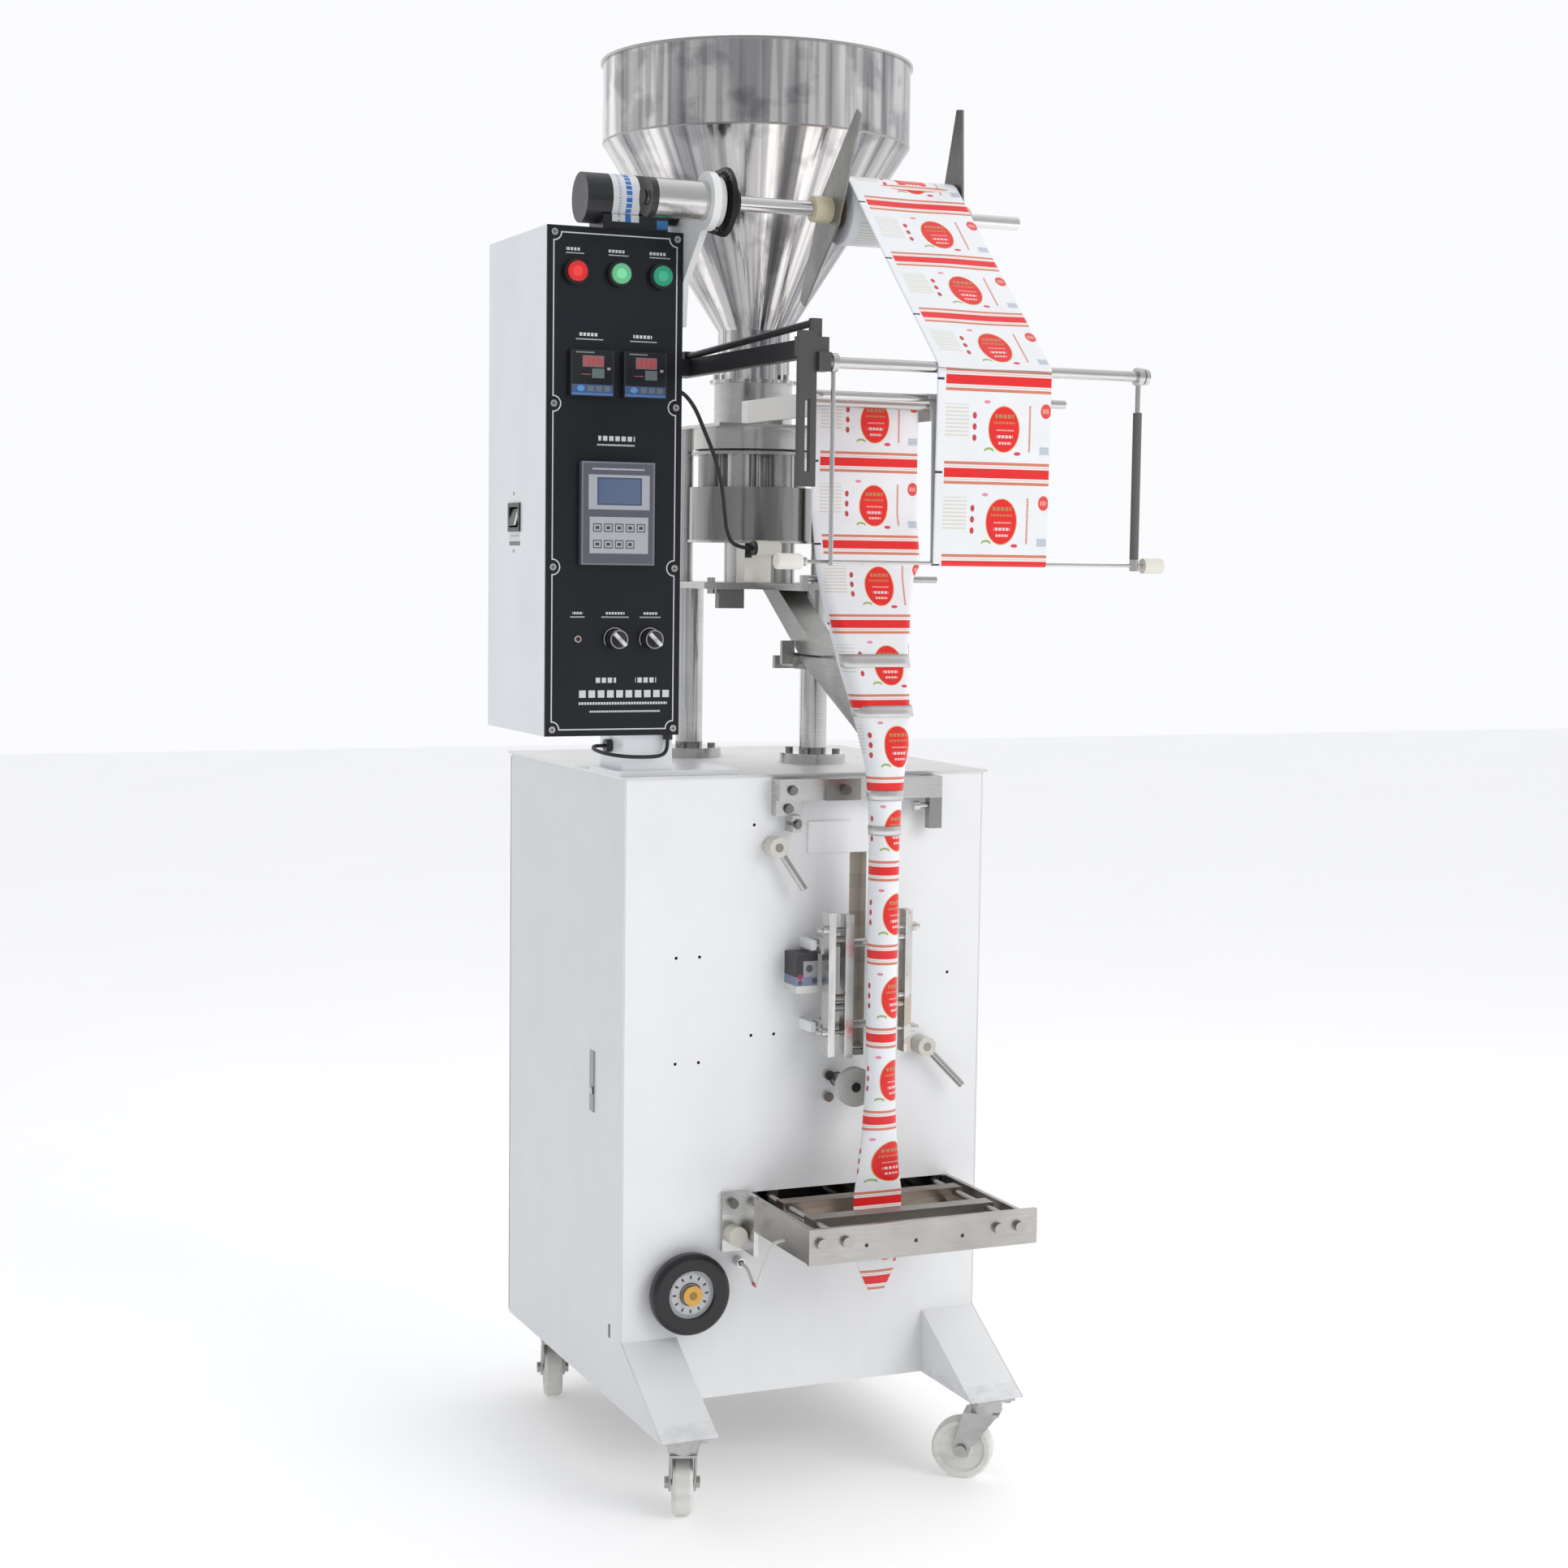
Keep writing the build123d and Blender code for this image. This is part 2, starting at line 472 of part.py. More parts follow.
def unwinding():
    """Unwind arm, shaft, sprockets, chain, motor, wing plates and reel."""
    outline = [(-108, 1512), (-84, 1550), (30, 1560), (52, 1536), (60, 1450)]
    outline += [(60, 1392), (8, 1392), (2, 1440), (-60, 1500)]
    arm = plate_yz(outline, BOX_X1, BOX_X1 + 8) + along_x(BOX_X1, BOX_X1 + 8, UNWIND_Y, UNWIND_Z, 28)
    arm += along_x(-12, BOX_X1, UNWIND_Y, UNWIND_Z, 22) + along_x(58, BOX_X1, UNWIND_Y, UNWIND_Z, 33)
    arm -= along_x(-13, BOX_X1 + 9, UNWIND_Y, UNWIND_Z, UNWIND_R + RUN)
    arm -= along_x(BOX_X1 - 1, BOX_X1 + 9, MOTOR_Y, MOTOR_Z, 5 + RUN)
    parts["unwind_arm"] = arm

    motor = along_x(-50, 27, MOTOR_Y, MOTOR_Z, 29) + along_x(27, BOX_X1, MOTOR_Y, MOTOR_Z, 26)
    motor -= along_x(40, BOX_X1 + 1, MOTOR_Y, MOTOR_Z, 5 + RUN)
    saddle = block(-30, 50, MOTOR_Y - 24, MOTOR_Y + 24, BOX_Z1, MOTOR_Z - 20)
    parts["unwind_motor"] = motor + saddle

    shaft = along_x(-16, 394, UNWIND_Y, UNWIND_Z, UNWIND_R)
    shaft += along_x(394, 460, UNWIND_Y, UNWIND_Z, SHAFT_END_R)
    shaft += sprocket(78, 85, UNWIND_Y, UNWIND_Z, 30, 24) + along_x(85, 97, UNWIND_Y, UNWIND_Z, 16)
    parts["unwind_shaft"] = shaft
    small = sprocket(78, 85, MOTOR_Y, MOTOR_Z, 14, 11) + along_x(42, 90, MOTOR_Y, MOTOR_Z, 5)
    parts["motor_sprocket"] = small

    lean = degrees(atan2(MOTOR_Z - UNWIND_Z, MOTOR_Y - UNWIND_Y))
    runs = [arc_points(UNWIND_Y, UNWIND_Z, r, 90 + lean + 7, 270 + lean - 7, 24) for r in (39, 34.5)]
    ends = [arc_points(MOTOR_Y, MOTOR_Z, r, -90 + lean - 7, 90 + lean + 7, 16) for r in (23, 18.5)]
    chain = plate_yz(runs[0] + ends[0], 79, 84) - plate_yz(runs[1] + ends[1], 78, 85)
    parts["unwind_chain"] = chain

    left = plate_yz(wing(37), 214, 214 + WING_T) + along_x(192, 214, UNWIND_Y, UNWIND_Z, 15)
    right = plate_yz(wing(8), 371, 371 + WING_T) + along_x(371 + WING_T, 392, UNWIND_Y, UNWIND_Z, 15)
    bore = along_x(150, 420, UNWIND_Y, UNWIND_Z, UNWIND_R)
    parts["wing_plates"] = group(left - bore, right - bore)
    x0, x1 = FILM_X - FILM_W / 2, FILM_X + FILM_W / 2
    parts["film_reel"] = along_x(x0, x1, UNWIND_Y, UNWIND_Z, REEL_R, UNWIND_R)


def sprocket(x0, x1, y, z, root_r, teeth):
    """Chain wheel with short teeth."""
    wheel = along_x(x0, x1, y, z, root_r)
    for i in range(teeth):
        a = 2 * pi * i / teeth
        tooth = Pos((x0 + x1) / 2, y + root_r * cos(a), z + root_r * sin(a)) * Rot(degrees(a), 0, 0)
        wheel += tooth * Box(x1 - x0 - 2, 6, 3)
    return wheel


def rollers():
    """Bracket bars, slotted bar, front roller, lower rod and the swinging dancer."""
    y, z = ROLLER_A_Y, ROLLER_A_Z
    bracket = block(84, 96, -327, 60, 1336, 1356) + block(BOX_X1, 84, 20, 60, 1336, 1356)
    bracket += block(66, 100, -341, -327, 1336, 1356) + block(66, 86, -341, -333, 1199, 1362)
    bracket -= block(73, 79, -342, -332, 1215, 1290)
    bracket += block(86, 100, y - 10, y + 10, z - 10, z + 10)
    bracket += along_x(90, 490, y, z, ROLLER_A_R) + along_x(487, 492, y, z, 9)
    bracket += block(76, 86, -333, -311, ROD_D_Z - 7, ROD_D_Z + 7)
    bracket += along_x(80, 398, ROD_D_Y, ROD_D_Z, ROD_D_R)
    bracket += rod((90, -327, 1372), (90, 40, 1360), 4) + block(84, 96, -331, -323, 1356, 1376)
    bracket += block(84, 96, 36, 46, 1356, 1366)
    parts["roller_bracket"] = bracket

    dancer = along_x(DANCER_X0, DANCER_KNOB_X - 24, y, DANCER_Z, DANCER_ROD_R)
    dancer += along_x(DANCER_KNOB_X - 24, DANCER_KNOB_X, y, DANCER_Z, DANCER_KNOB_R)
    arms = ((DANCER_X0 + 3, DANCER_Z - 4, z - 8, 2.5), (DANCER_X1 - 3, 1290, z - 8, 3.0))
    arms += ((DANCER_X1 - 3, DANCER_Z - 6, 1290, 5.0),)
    for x, low, high, radius in arms:
        dancer += along_z(low, high, x, y, radius)
    for x in (DANCER_X0 + 3, DANCER_X1 - 3):
        dancer += along_x(x - 3.5, x + 3.5, y, z, 10)
    dancer -= along_x(90, 490, y, z, ROLLER_A_R + RUN)
    parts["dancer"] = dancer


# ---------------------------------------------------------------- film
def film():
    """Film from the reel to the pouch, as simple closed solids."""
    grow = 0.8
    upper = [(-111, 1557.5), (ROLLER_A_Y - 4.2, ROLLER_A_Z + 5.8)]
    top = film_strip(upper)
    rear = arc_points(ROD_D_Y, ROD_D_Z, ROD_D_R + grow, 180, 92)
    rear += arc_points(ROLLER_C_Y, ROLLER_C_Z, ROLLER_C_R + grow, 92, 0)
    rear += [(-18.2, 1180), (-34, 1120)]
    back = film_strip(rear)
    fold = plate_xz([(227, 1119), (367, 1119), (322, 878), (264, 878)], -1, 0)
    fold = Pos(0, -34, 1119) * Rot(-20.7, 0, 0) * Pos(0, 0, -1119) * fold
    tube = along_z(520, 889, TUBE_X, TUBE_Y, TUBE_R + 2.6, TUBE_R + 0.6)
    round_end = Pos(TUBE_X, TUBE_Y, 519.9) * Circle(TUBE_R + 2.6)
    flat_end = Pos(TUBE_X - 1, TUBE_Y, 356) * Ellipse(37, 2)
    lower = loft([round_end, flat_end])
    seal = block(256, 328, TUBE_Y - 0.8, TUBE_Y + 0.8, 313, 356)
    outline = [(262, 313), (322, 313), (319, 290), (305, 241), (279, 241), (265, 290)]
    tip = plate_xz(outline, TUBE_Y - 3, TUBE_Y + 3)
    fin = block(FIN_X - 0.2, FIN_X + 0.2, TUBE_Y + 14.9, -48, 460, 800)
    parts["film_web"] = group(top, back, fold, tube + lower + seal + tip + fin)

    y, z = ROLLER_A_Y, ROLLER_A_Z
    loop = [(y - ROLLER_A_R - grow, z - 1)]
    loop += arc_points(y, DANCER_Z, DANCER_ROD_R + grow, 180, 360)
    loop += [(y + 6, ROD_D_Z - 16)]
    parts["film_loop"] = film_strip(loop)


# ---------------------------------------------------------------- cabinet front
def front_brackets():
    """Film guide bar, slot cover, seal guide rods, thermostat and jaw bracket."""
    pieces = []
    clamp = block(188, 405, -26, -14, 834, 860) + block(188, 221, -14, 0, 815, 860)
    clamp += block(206, 218, -24, 0, 796, 816) + block(247, 292, -32, -26, 834, 860)
    clamp += block(388, 405, -14, 0, 834, 860) + block(388, 405, -26, -14, 796, 835)
    for x, y0, y1, z, radius in ((204, -32, -26, 847, 5), (204, -20, -14, 824, 5), (270, -40, -32, 847, 6)):
        clamp += along_y(y0, y1, x, z, radius)
    clamp += along_y(-29, -24, 212, 806, 4)
    clamp += along_x(374, 390, -20, 824, 3.5) + along_x(368, 376, -20, 824, 6)
    pieces.append(clamp)
    pieces.append(block(236, 292, -3, 0, 768, 806))
    for z in (560, 660):
        pieces.append(block(228, 234, -36, 0, z - 6, z + 6))
        pieces.append(block(SEAL_SUM - 234, SEAL_SUM - 228, -36, 0, z - 6, z + 6))
        pieces.append(along_x(234, SEAL_SUM - 234, -30, z, 5))
    pieces.append(block(208, 236, -36, 0, 602, 650))
    angle = block(128, 161, -6, 0, 286, 359) + block(155, 161, -40, -6, 286, 359)
    angle += along_y(-26, -6, 141, 308, 12) + along_y(-12, -6, 141, 345, 6)
    pieces.append(angle)
    pieces.append(along_y(-14, 0, 150, 292 - 20, 6, 3.5))
    for x, z in ((266, 494), (266, 467)):
        pieces.append(along_y(-10, 0, x, z, 6))
    parts["front_brackets"] = group(*pieces)


LEVERS = {"upper_lever": (189, 778, 32, -51), "lower_lever": (392, 524, 47, -50)}


def levers():
    """Two clamp levers that turn in the front panel."""
    for name, (x, z, dx, dz) in LEVERS.items():
        lever = along_y(-24, -3, x, z, 12) + along_y(-3, 9, x, z, 6) + along_y(3, 9, x, z, 9)
        lever += rod((x, -17, z), (x + dx, -27, z + dz), 4.5)
        parts[name] = lever


def seal_bars():
    """Left and right vertical seal bars with spring bolts, sliding on two guide rods."""

    def bar(mirror):
        def at(a, b):
            return (SEAL_SUM - b, SEAL_SUM - a) if mirror else (a, b)

        body = block(*at(258, 269), -68, -52, 526, 700) + block(*at(238, 247), -64, -44, 528, 702)
        for z in (557, 681):
            body += along_x(*at(226, 259), -58, z, 3) + along_x(*at(231, 238), -58, z, 5.5)
        for z in (587, 598, 669):
            body += along_x(*at(246, 259), -58, z, 4.5)
        for z in (560, 660):
            carriage = block(*at(236, 252), -45, -22, z - 10, z + 10)
            body += carriage - along_x(*at(200, 300), -30, z, 5 + RUN)
        return body

    parts["left_seal_bar"] = bar(False)
    parts["right_seal_bar"] = bar(True)


def jaws():
    """Cross-seal frame with guide rods, rear jaw and front jaw with its tie rods."""
    x0, x1, y0, z0, z1 = JAW_X0, JAW_X1, JAW_FRONT_Y, JAW_Z0, JAW_Z1
    frame = block(x0, x0 + 6, y0 + 6, 0, z0, z1) + block(x1 - 6, x1, y0 + 6, 0, z0, z1)
    frame += block(x0 - 2, x1 + 20, y0, y0 + 6, z0, z1)
    frame += block(x0 + 6, x0 + 12, -6, 0, z0, z1) + block(x1 - 12, x1 - 6, -6, 0, z0, z1)
    frame += block(x0, x0 + 60, 40, 52, 325, z1) + block(x1 - 60, x1, 40, 52, 325, z1)
    for x in (190, 414):
        frame += along_y(y0 + 6, 52, x, GUIDE_Z, 4.5)
    for x in (206, 398):
        frame -= along_y(30, 60, x, 336, 5 + RUN)
    for x in (174, 206, 404, 432):
        frame += along_y(y0 - 6, y0, x, 338 - (x - 174) * 0.01, 6.5)
    parts["jaw_frame"] = frame

    rear = block(182, 422, -66, -44, 327, z1) + along_y(-44, 70, 303, 336, 8)
    for x, z, r in ((190, GUIDE_Z, 4.5), (206, 336, 5), (398, 336, 5), (414, GUIDE_Z, 4.5)):
        rear -= along_y(-70, -40, x, z, r + RUN)
    parts["rear_jaw"] = rear
    front = block(182, 422, -148, -126, 327, z1)
    for x in (190, 414):
        front -= along_y(-150, -120, x, GUIDE_Z, 4.5 + RUN)
    for x in (206, 398):
        front += along_y(-130, 90, x, 336, 5)
    parts["front_jaw"] = front


# ---------------------------------------------------------------- cords
SENSOR_ROUTE = [(77, 80, 1325), (95, 80, 1325), (114, 79, 1306), (128, 80, 1276), (143, 83, 1246)]
SENSOR_ROUTE += [(155, 89, 1214), (163, 99, 1183), (171, 112, 1156), (186, 121, 1136), (210, 121, 1136)]
JAW_WIRE_ROUTE = [(150, -14, 272), (150, -32, 272), (147, -52, 263), (142, -74, 260), (137, -95, 268)]
JAW_WIRE_ROUTE += [(135, -110, 285), (138, -118, 306), (146, -118, 325), (161, -118, 325)]
BOX_ROUTE = [(-4, 60, 898), (-13, 60, 898), (-21, 54, 897.5), (-25, 39, 895), (-20, 12, 892), (0, 2, 889)]
BOX_ROUTE += [(26, 2, 888), (44, 4, 888.5), (53, 8, 891.5), (57, 10, 899), (57, 10, 908)]


def cord(route, radius):
    """Round cord along straight runs joined by the largest arcs that fit."""
    points = [Vector(*p) for p in route]
    radii = []
    for before, here, after in zip(points, points[1:], points[2:]):
        first, second = here - before, after - here
        turn = radians(first.get_angle(second))
        radii.append(0.45 * min(first.length, second.length) / (sin(turn / 2) / cos(turn / 2)))
    path = FilletPolyline(*points, radius=radii)
    start = Plane(origin=points[0], z_dir=points[1] - points[0])
    print("cord length", round(path.length), "mm")
    return sweep(start * Circle(radius), path=path)


def cords():
    """Level sensor cable, jaw heater wire and the cable under the control box."""
    parts["sensor_cable"] = cord(SENSOR_ROUTE, 2.5)
    parts["jaw_wire"] = cord(JAW_WIRE_ROUTE, 2)
    parts["box_cable"] = cord(BOX_ROUTE, 2.25)


cabinet()
feet()
casters()
drive()
control_box()
filler()
chute_and_former()
unwinding()
rollers()
film()
front_brackets()
levers()
seal_bars()
jaws()
cords()

os.makedirs("parts", exist_ok=True)
shift = Location((-ORIGIN_X, -ORIGIN_Y, 0))
for name, shape in parts.items():
    export_step(shift * shape, f"parts/{name}.step")
print(len(parts), "nodes, origin shift", ORIGIN_X, ORIGIN_Y)
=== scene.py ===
from math import cos, pi, radians, sin, sqrt

import bmesh
import bpy
from mathutils import Matrix, Vector


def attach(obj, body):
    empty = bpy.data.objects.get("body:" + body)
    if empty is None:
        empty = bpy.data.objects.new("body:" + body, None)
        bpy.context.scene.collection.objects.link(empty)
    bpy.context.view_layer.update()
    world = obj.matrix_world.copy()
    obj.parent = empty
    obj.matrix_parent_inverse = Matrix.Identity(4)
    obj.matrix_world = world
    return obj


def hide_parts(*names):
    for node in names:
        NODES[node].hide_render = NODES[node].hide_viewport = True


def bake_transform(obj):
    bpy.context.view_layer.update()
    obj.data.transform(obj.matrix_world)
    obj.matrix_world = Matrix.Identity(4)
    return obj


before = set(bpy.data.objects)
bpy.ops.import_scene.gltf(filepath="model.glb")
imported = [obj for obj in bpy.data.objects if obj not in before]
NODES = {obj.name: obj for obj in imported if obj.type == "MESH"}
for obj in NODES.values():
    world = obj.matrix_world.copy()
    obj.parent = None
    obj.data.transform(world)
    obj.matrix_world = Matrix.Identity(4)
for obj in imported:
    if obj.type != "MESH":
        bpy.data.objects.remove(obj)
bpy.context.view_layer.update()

# The CAD's own millimetres: x from the cabinet's left face, y from its front face, z from the floor.
ORIGIN_X, ORIGIN_Y = 206.5, 51.5
BOX_X0, BOX_X1, BOX_Z0, BOX_Z1 = -99, 67, 914, 1499
SCREWS = [(x, z) for x in (BOX_X0 + 8, BOX_X1 - 8) for z in (BOX_Z0 + 8, 1110, 1297, BOX_Z1 - 8)]
HOPPER_X, HOPPER_Y = 258, 238
HAND_X, HAND_Z = 82, 242
BUTTON_Z, KNOB_Z, LAMP_X = 1447, 1027, -60
METERS = (-46.5, 18.5)
KNOBS = (("temperature_knob", -14), ("speed_knob", 30))
UNWIND_Y, UNWIND_Z, REEL_R = -86, 1525, 39
GUIDE_Y, DANCER_Z = -337, 1120
NIP_Z = 487
FILM_X, FILM_W, FILM_PITCH = 297, 140, 100
FILM_HALF, FILM_LEFT = FILM_W / 2, FILM_X - FILM_W / 2
TUBE_Y, SEAM_SHIFT = -96, 4


def at(x, y, z):
    """A point of the CAD, from millimetres to metres."""
    return Vector(((x - ORIGIN_X) / 1000, (y - ORIGIN_Y) / 1000, z / 1000))


def add(name, data):
    """New object in the scene."""
    made = bpy.data.objects.new(name, data)
    bpy.context.scene.collection.objects.link(made)
    return made


# ---------------------------------------------------------------- camera and light
def camera():
    """Camera at the viewing angle: low, ahead and left of the machine."""
    yaw, pitch, roll = radians(23.68), radians(4.87), radians(0.77)
    ahead = Vector((sin(yaw) * cos(pitch), cos(yaw) * cos(pitch), -sin(pitch)))
    right = Vector((cos(yaw), -sin(yaw), 0))
    up = right.cross(ahead)
    right, up = cos(roll) * right + sin(roll) * up, cos(roll) * up - sin(roll) * right
    turn = Matrix((right, up, -ahead)).transposed().to_4x4()
    made = add("camera", bpy.data.cameras.new("camera"))
    made.matrix_world = Matrix.Translation((-1.2553, -2.9085, 1.1183)) @ turn
    made.data.lens, made.data.sensor_width = 59.6, 36
    bpy.context.scene.camera = made


def softbox(name, place, aim, size, power, color=(1, 1, 1)):
    """Large area lamp that points at a place and leaves no bright patch in polished steel."""
    data = bpy.data.lights.new(name, "AREA")
    data.shape, data.size, data.size_y = "RECTANGLE", size[0], size[1]
    data.energy, data.color = power, color
    lamp = add(name, data)
    lamp.location = place
    lamp.rotation_euler = (Vector(aim) - Vector(place)).to_track_quat("-Z", "Y").to_euler()
    lamp.visible_glossy = False


def studio():
    """Surroundings that pale towards the back, and three softboxes."""
    world = bpy.data.worlds.new("studio")
    world.use_nodes = True
    tree = world.node_tree
    place, split, lean, ramp = (
        tree.nodes.new("ShaderNode" + kind) for kind in ("TexCoord", "VectorMath", "MapRange", "ValToRGB")
    )
    split.operation = "DOT_PRODUCT"
    split.inputs[1].default_value = (0.55, 0.83, -0.05)
    tree.links.new(place.outputs["Generated"], split.inputs[0])
    tree.links.new(split.outputs["Value"], lean.inputs["Value"])
    lean.inputs["From Min"].default_value, lean.inputs["From Max"].default_value = -1.0, 1.0
    lean.interpolation_type = "SMOOTHSTEP"
    tree.links.new(lean.outputs["Result"], ramp.inputs[0])
    ramp.color_ramp.elements[0].color = (0.44, 0.45, 0.47, 1)
    ramp.color_ramp.elements[1].color = (0.965, 0.97, 0.985, 1)
    ramp.color_ramp.elements[1].position = 0.78
    tree.links.new(ramp.outputs["Color"], tree.nodes["Background"].inputs["Color"])
    bpy.context.scene.world = world
    bpy.context.scene.view_settings.view_transform = "Standard"
    softbox("key", (2.0, -3.4, 2.4), (0, 0, 0.9), (2.6, 2.6), 66, (1, 0.985, 0.965))
    softbox("fill", (-2.8, -1.0, 1.8), (0, 0, 0.9), (1.2, 2.4), 3, (0.92, 0.96, 1))
    softbox("top", (0.3, 0.4, 3.4), (0, 0, 1), (1.8, 1.8), 14)


# ---------------------------------------------------------------- materials
class Num:
    """A number on a shader socket, so that masks read as arithmetic."""

    def __init__(self, surface, socket):
        self.surface, self.socket = surface, socket

    def __add__(self, other):
        return self.surface.math("ADD", self, other)

    def __sub__(self, other):
        return self.surface.math("SUBTRACT", self, other)

    def __rsub__(self, other):
        return self.surface.math("SUBTRACT", other, self)

    def __mul__(self, other):
        return self.surface.math("MULTIPLY", self, other)

    def __truediv__(self, other):
        return self.surface.math("DIVIDE", self, other)

    def __mod__(self, other):
        return self.surface.math("FLOORED_MODULO", self, other)

    def __abs__(self):
        return self.surface.math("ABSOLUTE", self)

    def __gt__(self, other):
        return self.surface.math("GREATER_THAN", self, other)

    def __lt__(self, other):
        return self.surface.math("LESS_THAN", self, other)

    def __or__(self, other):
        return self.surface.math("MAXIMUM", self, other)

    def __and__(self, other):
        return self.surface.math("MULTIPLY", self, other)

    def __invert__(self):
        return self.surface.math("SUBTRACT", 1.0, self)


class Surface:
    """A procedural material painted in the CAD's millimetres, or in the film's own."""

    def __init__(self, name, color, rough=0.4, metal=0.0, uv=None, **fixed):
        self.material = bpy.data.materials.new(name)
        self.material.use_nodes = True
        tree = self.material.node_tree
        self.nodes, self.links = tree.nodes, tree.links
        self.shader = self.nodes["Principled BSDF"]
        self.color, self.rough, self.metal = color, rough, metal
        for key, value in fixed.items():
            self.shader.inputs[key.replace("_", " ")].default_value = value
        if uv:
            source = self.nodes.new("ShaderNodeUVMap")
            source.uv_map = uv
            place = source.outputs["UV"]
        else:
            source = self.nodes.new("ShaderNodeTexCoord")
            scale = self.nodes.new("ShaderNodeVectorMath")
            scale.operation = "MULTIPLY_ADD"
            self.links.new(source.outputs["Object"], scale.inputs[0])
            scale.inputs[1].default_value = (1000, 1000, 1000)
            scale.inputs[2].default_value = (ORIGIN_X, ORIGIN_Y, 0)
            place = scale.outputs[0]
        split = self.nodes.new("ShaderNodeSeparateXYZ")
        self.links.new(place, split.inputs[0])
        self.place = place
        self.x, self.y, self.z = (Num(self, out) for out in split.outputs)

    def put(self, value, socket):
        if isinstance(value, Num):
            self.links.new(value.socket, socket)
        elif isinstance(value, bpy.types.NodeSocket):
            self.links.new(value, socket)
        else:
            socket.default_value = (*value, 1) if isinstance(value, tuple) else value

    def math(self, kind, *values):
        node = self.nodes.new("ShaderNodeMath")
        node.operation = kind
        for value, socket in zip(values, node.inputs):
            self.put(value, socket)
        return Num(self, node.outputs[0])

    def disc(self, u, v, cu, cv, radius, tall=None):
        a, b = (u - cu) / radius, (v - cv) / (tall or radius)
        return (a * a + b * b) < 1.0

    def rect(self, u, v, cu, cv, width, height):
        return (abs(u - cu) < width / 2) & (abs(v - cv) < height / 2)

    def angle(self, u, v):
        return self.math("ARCTAN2", v, u)

    def distance(self, u, v):
        return self.math("SQRT", u * u + v * v)

    def around(self, cx, cy):
        """The turn about an upright axis, and a place for noise made of that turn and the height."""
        turn = self.angle(self.x - cx, self.y - cy)
        sweep = self.nodes.new("ShaderNodeCombineXYZ")
        self.put(turn, sweep.inputs[0])
        self.put(self.z, sweep.inputs[1])
        return turn, sweep.outputs[0]

    def noise(self, scale, detail=2.0, place=None):
        """Noise from 0 to 1; scale is how many times it varies in one millimetre, per axis."""
        stretch = self.nodes.new("ShaderNodeVectorMath")
        stretch.operation = "MULTIPLY"
        self.put(place or self.place, stretch.inputs[0])
        stretch.inputs[1].default_value = scale if isinstance(scale, tuple) else (scale,) * 3
        node = self.nodes.new("ShaderNodeTexNoise")
        node.inputs["Scale"].default_value = 1
        node.inputs["Detail"].default_value = detail
        self.links.new(stretch.outputs[0], node.inputs["Vector"])
        return Num(self, node.outputs[0])

    def blend(self, mask, below, above, kind="RGBA"):
        node = self.nodes.new("ShaderNodeMix")
        node.data_type = kind
        first, second, out = (6, 7, 2) if kind == "RGBA" else (2, 3, 0)
        self.put(mask, node.inputs[0])
        self.put(below, node.inputs[first])
        self.put(above, node.inputs[second])
        return node.outputs[out] if kind == "RGBA" else Num(self, node.outputs[out])

    def paint(self, mask, color, rough=None, metal=None):
        """Lays another finish over the part of the surface that the mask covers."""
        self.color = self.blend(mask, self.color, color)
        if rough is not None:
            self.rough = self.blend(mask, self.rough, rough, "FLOAT")
        if metal is not None:
            self.metal = self.blend(mask, self.metal, metal, "FLOAT")
        return self

    def vary(self, noise, amount, rough=0.0):
        """Darkens and roughens the surface a little where the noise is high."""
        shade = (noise - 0.35) * 1.8
        node = self.nodes.new("ShaderNodeMix")
        node.data_type, node.blend_type, node.clamp_factor = "RGBA", "MULTIPLY", True
        self.put(shade, node.inputs[0])
        self.put(self.color, node.inputs[6])
        node.inputs[7].default_value = (1 - amount, 1 - amount, 1 - amount * 0.95, 1)
        self.color = node.outputs[2]
        if rough:
            self.rough = (noise - 0.5) * rough + self.rough
        return self

    def bump(self, height, depth):
        """Relief whose height runs from 0 to 1 over a depth in millimetres."""
        node = self.nodes.new("ShaderNodeBump")
        node.inputs["Distance"].default_value = depth / 1000
        self.put(height, node.inputs["Height"])
        if self.shader.inputs["Normal"].is_linked:
            self.links.new(self.shader.inputs["Normal"].links[0].from_socket, node.inputs["Normal"])
        self.links.new(node.outputs[0], self.shader.inputs["Normal"])
        return self

    def done(self):
        self.put(self.color, self.shader.inputs["Base Color"])
        self.put(self.rough, self.shader.inputs["Roughness"])
        self.put(self.metal, self.shader.inputs["Metallic"])
        return self.material


def coat(name, color, rough=0.32):
    """Powder coat: fine orange peel and faint handling marks."""
    s = Surface(name, color, rough, Coat_Weight=0.25, Coat_Roughness=0.18)
    s.vary(s.noise(0.011, 4), 0.05, 0.12)
    s.vary(s.noise((0.9, 0.9, 0.07), 2), 0.018)
    s.bump(s.noise(0.55, 2), 0.05)
    return s


def steel(name, color, rough=0.26, lines=(0.02, 0.02, 2.2), stain=0.12):
    """Brushed sheet steel: fine lines along one axis and slow cloudy stains."""
    s = Surface(name, color, rough, 1.0)
    s.vary(s.noise(lines, 2), 0.16, 0.22)
    s.vary(s.noise(0.018, 3), stain, 0.16)
    s.bump(s.noise(lines, 1), 0.025)
    return s


def plastic(name, color, rough=0.4, grain=0.8, depth=0.04):
    """Moulded plastic: fine grain and a little wear."""
    s = Surface(name, color, rough)
    s.vary(s.noise(0.05, 3), 0.08, 0.14)
    s.bump(s.noise(grain, 2), depth)
    return s


def dress(surface, *names):
    """Gives a material to CAD nodes or new pieces."""
    material = surface.done() if isinstance(surface, Surface) else surface
    for name in names:
        target = NODES[name] if isinstance(name, str) else name
        target.data.materials.clear()
        target.data.materials.append(material)


